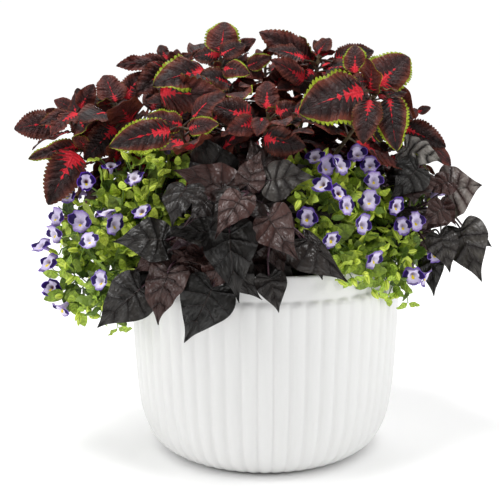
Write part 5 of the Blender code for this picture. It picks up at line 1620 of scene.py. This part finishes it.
def add_stem(piece, plant, template):
    """Adds a plant's own stem."""
    radius = HABITS[plant.stem.plant].stem
    count = len(plant.curve)
    radii = [radius * (1 - STEM_TAPER * max(i - 1, 0) / (count - 2)) for i in range(count)]
    piece.add(template, tube_points(template, plant.curve, radii), 2)


def any_phase(draw):
    """Where the waves of a blade or a flower start, which makes each its own."""
    return draw.uniform(0, 6)


def plants_of(kind):
    """The grown plants of one kind, each with its own draws."""
    return [(plant, random.Random(plant.name)) for plant in PLANTS if plant.stem.plant == kind]


class PLANTER_OT_coleus(SceneOperator, bpy.types.Operator):
    """Grows the coleus shoots"""

    bl_idname = "planter.coleus"
    bl_label = "Coleus"

    def execute(self, context):
        settings = context.scene.planter_foliage
        tones = COLEUS_TONES
        heart, lime = settings.coleus_heart, settings.coleus_lime
        skin = coleus_material("coleus_leaf", settings.coleus_dark, settings.coleus_light, tones.vein,
                               heart, lime, Specular_IOR_Level=0.35)
        under = coleus_material("coleus_under", *tones.under, heart, lime, Specular_IOR_Level=0.3)
        stem = plain_material("coleus_stem", *tones.stem, 0.5)
        big = blade_template("coleus_blade", 4 * OUTLINES["coleus"].teeth, MIDDLE_COLUMNS)
        middle = blade_template("coleus_middle_blade", 3 * OUTLINES["coleus"].teeth, FEW_COLUMNS)
        small = blade_template("coleus_small_blade", 24, SMALL_COLUMNS)
        hidden = blade_template("coleus_hidden_blade", 15, SMALL_COLUMNS)
        stalk = rod_template("stalk", 8, 7)
        rod = rod_template("stem", 15, 10)
        thicket, shown = Thicket(*HABITS, "pot", "soil"), Thicket(*HABITS)
        for plant, draw in plants_of("coleus"):
            piece = Piece()
            add_stem(piece, plant, rod)
            for leaf, tip in zip_longest(plant.leaves, plant.tips):
                leaf = leaf._replace(tip=leaf.base.lerp(leaf.tip, SHORT.get(tip, 1)))
                margin = (tip in LIME_TIPS) * draw.uniform(0.85, 1.2) + draw.choice((0, 0, 0.15))
                looks = draw.random(), margin, HEARTS.get(tip, draw.uniform(0.2, 1.0))
                shape = SHAPES.get(tip, (1, 1, 1))
                add_leaf(piece, plant, leaf, (big if tip else middle, stalk), COLEUS_STALK, looks,
                         any_phase(draw), shape)
            for leaf, _ in more_leaves(plant, thicket):
                looks = draw.random(), 0, draw.uniform(0.2, 0.8)
                add_leaf(piece, plant, leaf, (middle, stalk), THIN_STALK, looks, any_phase(draw))
            for leaf in tip_leaves(plant, thicket, shown):
                looks = draw.random(), 0.4 * draw.random() ** 2, draw.uniform(0.6, 1.0)
                add_leaf(piece, plant, leaf, (small, stalk), THIN_STALK, looks, any_phase(draw))
            # The leaves inside the shoot take a lower tone, which is painted shade
            for leaf in shade_leaves(plant, thicket, shown, settings.shade_leaves):
                looks = draw.uniform(0, 0.6), 0, draw.uniform(0, 0.9)
                add_leaf(piece, plant, leaf, (hidden, stalk), THIN_STALK, looks, any_phase(draw))
            piece.finish(f"{plant.name}_shoot", [skin, under, stem], "coleus_leaf", plant.name)
        return {"FINISHED"}


class PLANTER_OT_vine(SceneOperator, bpy.types.Operator):
    """Grows the sweet potato vine"""

    bl_idname = "planter.vine"
    bl_label = "Sweet potato vine"

    def execute(self, context):
        settings = context.scene.planter_foliage
        materials = tinted_materials("vine", settings, settings.vine_young, VINE_SKIN, VINE_TONES,
                                     Specular_IOR_Level=0.45)
        blade = blade_template("vine_blade", 36, BLADE_COLUMNS)
        small = blade_template("vine_small_blade", 18, SMALL_COLUMNS)
        stalk = rod_template("stalk", 8, 7)
        rod = rod_template("stem", 15, 10)
        thicket, shown = Thicket(*HABITS, "pot", "soil"), Thicket(*HABITS)
        for plant, draw in plants_of("vine"):
            piece = Piece()
            add_stem(piece, plant, rod)
            for leaf, tip in zip_longest(plant.leaves, plant.tips):
                young = (tip in YOUNG_TIPS) * draw.uniform(0.7, 1) + draw.uniform(0, 0.12)
                looks = draw.random(), young, PAINTED_SHEEN_SHARES.get(tip, draw.uniform(0, 0.1))
                shape = SHAPES.get(tip, (1, 1, draw.uniform(0.6, 1.2)))
                add_leaf(piece, plant, leaf, (blade, stalk), VINE_STALK, looks, any_phase(draw), shape)
            for leaf, tip in more_leaves(plant, thicket):
                looks = draw.random(), max(tip in YOUNG_TIPS, draw.random() ** 2), 0
                add_leaf(piece, plant, leaf, (blade, stalk), THIN_STALK, looks, any_phase(draw))
            # The leaves inside the plant take a lower tone, which is painted shade
            for leaf in shade_leaves(plant, thicket, shown, settings.vine_leaves):
                looks = draw.uniform(0, 0.5), draw.random() ** 2, 0
                add_leaf(piece, plant, leaf, (small, stalk), THIN_STALK, looks, any_phase(draw),
                         (1, 1, draw.uniform(0.8, 1.8)))
            piece.finish(f"{plant.name}_trail", materials, "vine_leaf", plant.name)
        return {"FINISHED"}


# Degrees that a flower is turned and lifted from the way its solid faces, its size, and how far it rolls
TURNED = (-28, 28)
LIFTED = (-12, 32)
FLOWER_SCALES = (0.88, 1.06)
ROLLS = (-0.25, 0.25)
# How far behind a side flower's mouth its stalk and its calyx end, and radii of the calyx and of pods
SIDE_STEM_BACK = 0.027
CALYX_BACK = 0.012
CALYX_GIRTH = 0.0038
POD_GIRTHS = (0.0030, 0.0042)
# A twig's radii, and half the thickness of the blades on the stem and on twigs
TWIG_RADII = (0.0009, 0.0008, 0.0006)
SPRAY_BLADE = 0.0003
TWIG_BLADE = 0.00025


class PLANTER_OT_torenia(SceneOperator, bpy.types.Operator):
    """Grows the wishbone flower's sprays, with their flowers and pods"""

    bl_idname = "planter.torenia"
    bl_label = "Wishbone flower"

    def execute(self, context):
        settings = context.scene.planter_foliage
        young_tone = settings.torenia_lime
        materials = tinted_materials("torenia", settings, young_tone, WISHBONE_SKIN, WISHBONE_TONES)
        materials.append(calyx_material(darker(settings.torenia_light, 0.45), young_tone))
        petal = petal_material(context.scene.planter_flower)
        big = blade_template("torenia_blade", 18, SMALL_COLUMNS)
        small = blade_template("torenia_small_blade", 8, (-1, 0, 1))
        stalk = rod_template("thin_stalk", 4, 5)
        rod = rod_template("stem", 15, 8)
        pod = rod_template("pod", 6, 10)
        flower = rod_template("flower", len(FLOWER_RINGS) - 1, LOBE_STEPS)
        thicket, others = Thicket(*HABITS, "pot", "soil"), Thicket("coleus", "vine")
        for plant, draw in plants_of("torenia"):
            piece, corollas = Piece(), Piece()
            add_stem(piece, plant, rod)
            for leaf in plant.leaves:
                points = blade_points(leaf, big, any_phase(draw), (1, 1, 1), SPRAY_BLADE)
                piece.add(big, points, 0, (draw.random(), draw.random() ** 2, 0))
            for i, bloom in enumerate(plant.blooms):
                root, back = plant.curve[-1], STEM_BACK
                if i:
                    root, back = nearest_on(plant.curve, plant.path[SIDE_BLOOM_SECTION]), SIDE_STEM_BACK
                bloom = bloom._replace(right=bloom.right + draw.uniform(*TURNED),
                                       up=bloom.up + draw.uniform(*LIFTED))
                look = facing(bloom.right, bloom.up)
                neck = bloom.at - look * back
                bend = [bezier(root, root.lerp(neck, 0.4) + UP * 0.002, neck - look * 0.004, neck, k / 4)
                        for k in range(5)]
                piece.add(stalk, tube_points(stalk, bend, [STALK_RADIUS] * 5), 2)
                end = bloom.at if bloom.bud else bloom.at - look * CALYX_BACK
                piece.add(pod, calyx_points(pod, neck, end, CALYX_GIRTH), 3, (draw.random(), 0, 0))
                if not bloom.bud:
                    points = flower_points(flower, bloom, any_phase(draw), draw.uniform(*ROLLS),
                                           draw.uniform(*FLOWER_SCALES))
                    corollas.add(flower, points, 0, (draw.random(), 0, draw.random()))
            for root, end, leaves, pods in twigs(plant, thicket, others, settings.twigs):
                start = nearest_on(plant.curve, root)
                path = [start, start.lerp(end, 0.5) + UP * 0.001, end]
                piece.add(stalk, tube_points(stalk, path, TWIG_RADII), 2)
                for leaf in leaves:
                    points = blade_points(leaf, small, any_phase(draw), (1, 1, 1.3), TWIG_BLADE)
                    # Lighter towards the twig's end: young leaves are paler, and the inner ones' darker
                    # tone is painted shade
                    young = min((leaf.base - start).length / max((end - start).length, 0.001), 1) ** 1.6
                    lime = young * draw.random() ** 0.45 * min(max(leaf.base.z * 10 - 2.0, 0.35), 1)
                    piece.add(small, points, 0, (young * draw.uniform(0.5, 1), lime, 0))
                for tip in pods:
                    points = calyx_points(pod, end, tip, draw.uniform(*POD_GIRTHS))
                    piece.add(pod, points, 3, (draw.random(), 0, 0))
            piece.finish(f"{plant.name}_spray", materials, "torenia_leaf", plant.name)
            if len(corollas.bm.verts):
                corollas.finish(f"{plant.name}_petals", [petal], "torenia_flower")
        return {"FINISHED"}


# The floor, whose glow is painted light: half its side, how strong its glow is near the pot, and radii
# between which the near glow and the white one begin. Inside the first radius it does not glow, a painted
# shadow round the pot's foot
FLOOR_HALF = 60
NEAR_GLOW = 0.44
GLOW_STARTS = ((BASE_RADIUS, BASE_RADIUS + 0.035), (0.5, 2.2))
# The white surroundings: how strong they are at the horizon, how much more overhead, and as they are seen
HORIZON = 0.45
OVERHEAD = 1.6
BACKDROP = 1.02
# The lights: place, size, and the share of a setting that is its power. All of them aim at one point
Lamp = namedtuple("Lamp", "name place size setting share")
LAMPS = (Lamp("above", (-0.35, -0.30, 2.1), 0.7, "key", 1),
         Lamp("behind", (0.3, 1.3, 1.9), 0.9, "key", 0.45),
         Lamp("left", (-1.7, -0.7, 0.8), 0.6, "side", 1), Lamp("right", (1.7, -0.7, 0.8), 0.6, "side", 1))
AIM = Vector((0, 0, 0.25))
SENSOR_WIDTH = 36


class PLANTER_OT_stage(SceneOperator, bpy.types.Operator):
    """Sets the white floor, the studio lights and the camera"""

    bl_idname = "planter.stage"
    bl_label = "Stage"

    def execute(self, context):
        settings = context.scene.planter_stage
        bm = bmesh.new()
        bmesh.ops.create_grid(bm, x_segments=1, y_segments=1, size=FLOOR_HALF)
        mesh = bpy.data.meshes.new("floor")
        bm.to_mesh(mesh)
        bm.free()
        paper, tree, shader = new_material("white_paper", Roughness=0.9, Emission_Strength=settings.glow)
        # Painted light: the floor glows, except right round the pot's foot, where that paints a shadow
        far = add(tree, "VectorMath", add(tree, "TexCoord", out=3), out=1, operation="LENGTH")
        near = mix(ramp(far, *GLOW_STARTS[0]), (0, 0, 0), (NEAR_GLOW,) * 3)
        glow = mix(ramp(far, *GLOW_STARTS[1]), near, (1, 1, 1))
        tree.links.new(glow, shader.inputs["Emission Color"])
        white = mix(mottle(tree, 30, 0.6), (0.90, 0.90, 0.90), (0.93, 0.93, 0.93))
        tree.links.new(white, shader.inputs["Base Color"])
        mesh.materials.append(paper)
        floor = placed("floor", mesh)
        world = bpy.data.worlds.new("studio")
        world.use_nodes = True
        tree = world.node_tree
        seen = add(tree, "LightPath")
        rise = add(tree, "SeparateXYZ", add(tree, "TexCoord"), out=2)
        dome = maths("POWER", maths("MAXIMUM", rise, 0.0), 2.0)
        dome = scaled(dome, OVERHEAD, HORIZON)
        dome = times(dome, settings.sky)
        strength = scaled(seen, minus(BACKDROP, dome), dome)
        background = tree.nodes["Background"].inputs
        background["Color"].default_value = (1, 1, 1, 1)
        tree.links.new(strength, background["Strength"])
        context.scene.world = world
        context.scene.view_settings.view_transform = "Standard"
        for name, place, size, setting, share in LAMPS:
            light = bpy.data.lights.new(name, "AREA")
            light.size = size
            light.energy = getattr(settings, setting) * share
            lamp = placed(name, light)
            lamp.location = place
            lamp.rotation_euler = (AIM - Vector(place)).to_track_quat("-Z", "Y").to_euler()
        camera = bpy.data.cameras.new("camera")
        camera.sensor_width = SENSOR_WIDTH
        camera.lens = FOCAL_PIXELS / PICTURE * camera.sensor_width
        camera.shift_x = (LEVEL_PIXEL - AXIS_PIXEL) / PICTURE
        viewer = placed("camera", camera)
        viewer.location = EYE
        viewer.rotation_euler = (math.pi / 2 - EYE_TILT, 0, 0)
        context.scene.camera = viewer
        return {"FINISHED"}


class PLANTER_PT_steps(bpy.types.Panel):
    """The steps and settings of the planter"""

    bl_idname = "PLANTER_PT_steps"
    bl_label = "Planter"
    bl_space_type = "VIEW_3D"
    bl_region_type = "UI"
    bl_category = "Planter"

    def draw(self, context):
        for step in STEPS:
            self.layout.operator(step.bl_idname)
        for name, group in SETTINGS.items():
            box = self.layout.box()
            for label in group.__annotations__:
                box.prop(getattr(context.scene, name), label)


SETTINGS = {"planter_pot": PotSettings, "planter_foliage": FoliageSettings,
            "planter_flower": FlowerSettings, "planter_stage": StageSettings}
STEPS = (PLANTER_OT_pot, PLANTER_OT_soil, PLANTER_OT_coleus, PLANTER_OT_vine, PLANTER_OT_torenia,
         PLANTER_OT_stage)
PLANTS = []


def register():
    """Adds the classes, and the settings to the scene."""
    for cls in (*SETTINGS.values(), *STEPS, PLANTER_PT_steps):
        bpy.utils.register_class(cls)
    for name, group in SETTINGS.items():
        setattr(bpy.types.Scene, name, PointerProperty(type=group))


def unregister():
    """Takes the classes and settings away."""
    for name in SETTINGS:
        delattr(bpy.types.Scene, name)
    for cls in (PLANTER_PT_steps, *reversed(STEPS), *reversed(SETTINGS.values())):
        bpy.utils.unregister_class(cls)


def main():
    """Dresses the planter."""
    register()
    vein_group()
    mottle_group()
    PLANTS.extend(grow())
    bpy.ops.planter.pot()
    bpy.ops.planter.soil()
    bpy.ops.planter.coleus()
    bpy.ops.planter.vine()
    bpy.ops.planter.torenia()
    bpy.ops.planter.stage()


if __name__ == "__main__":
    main()
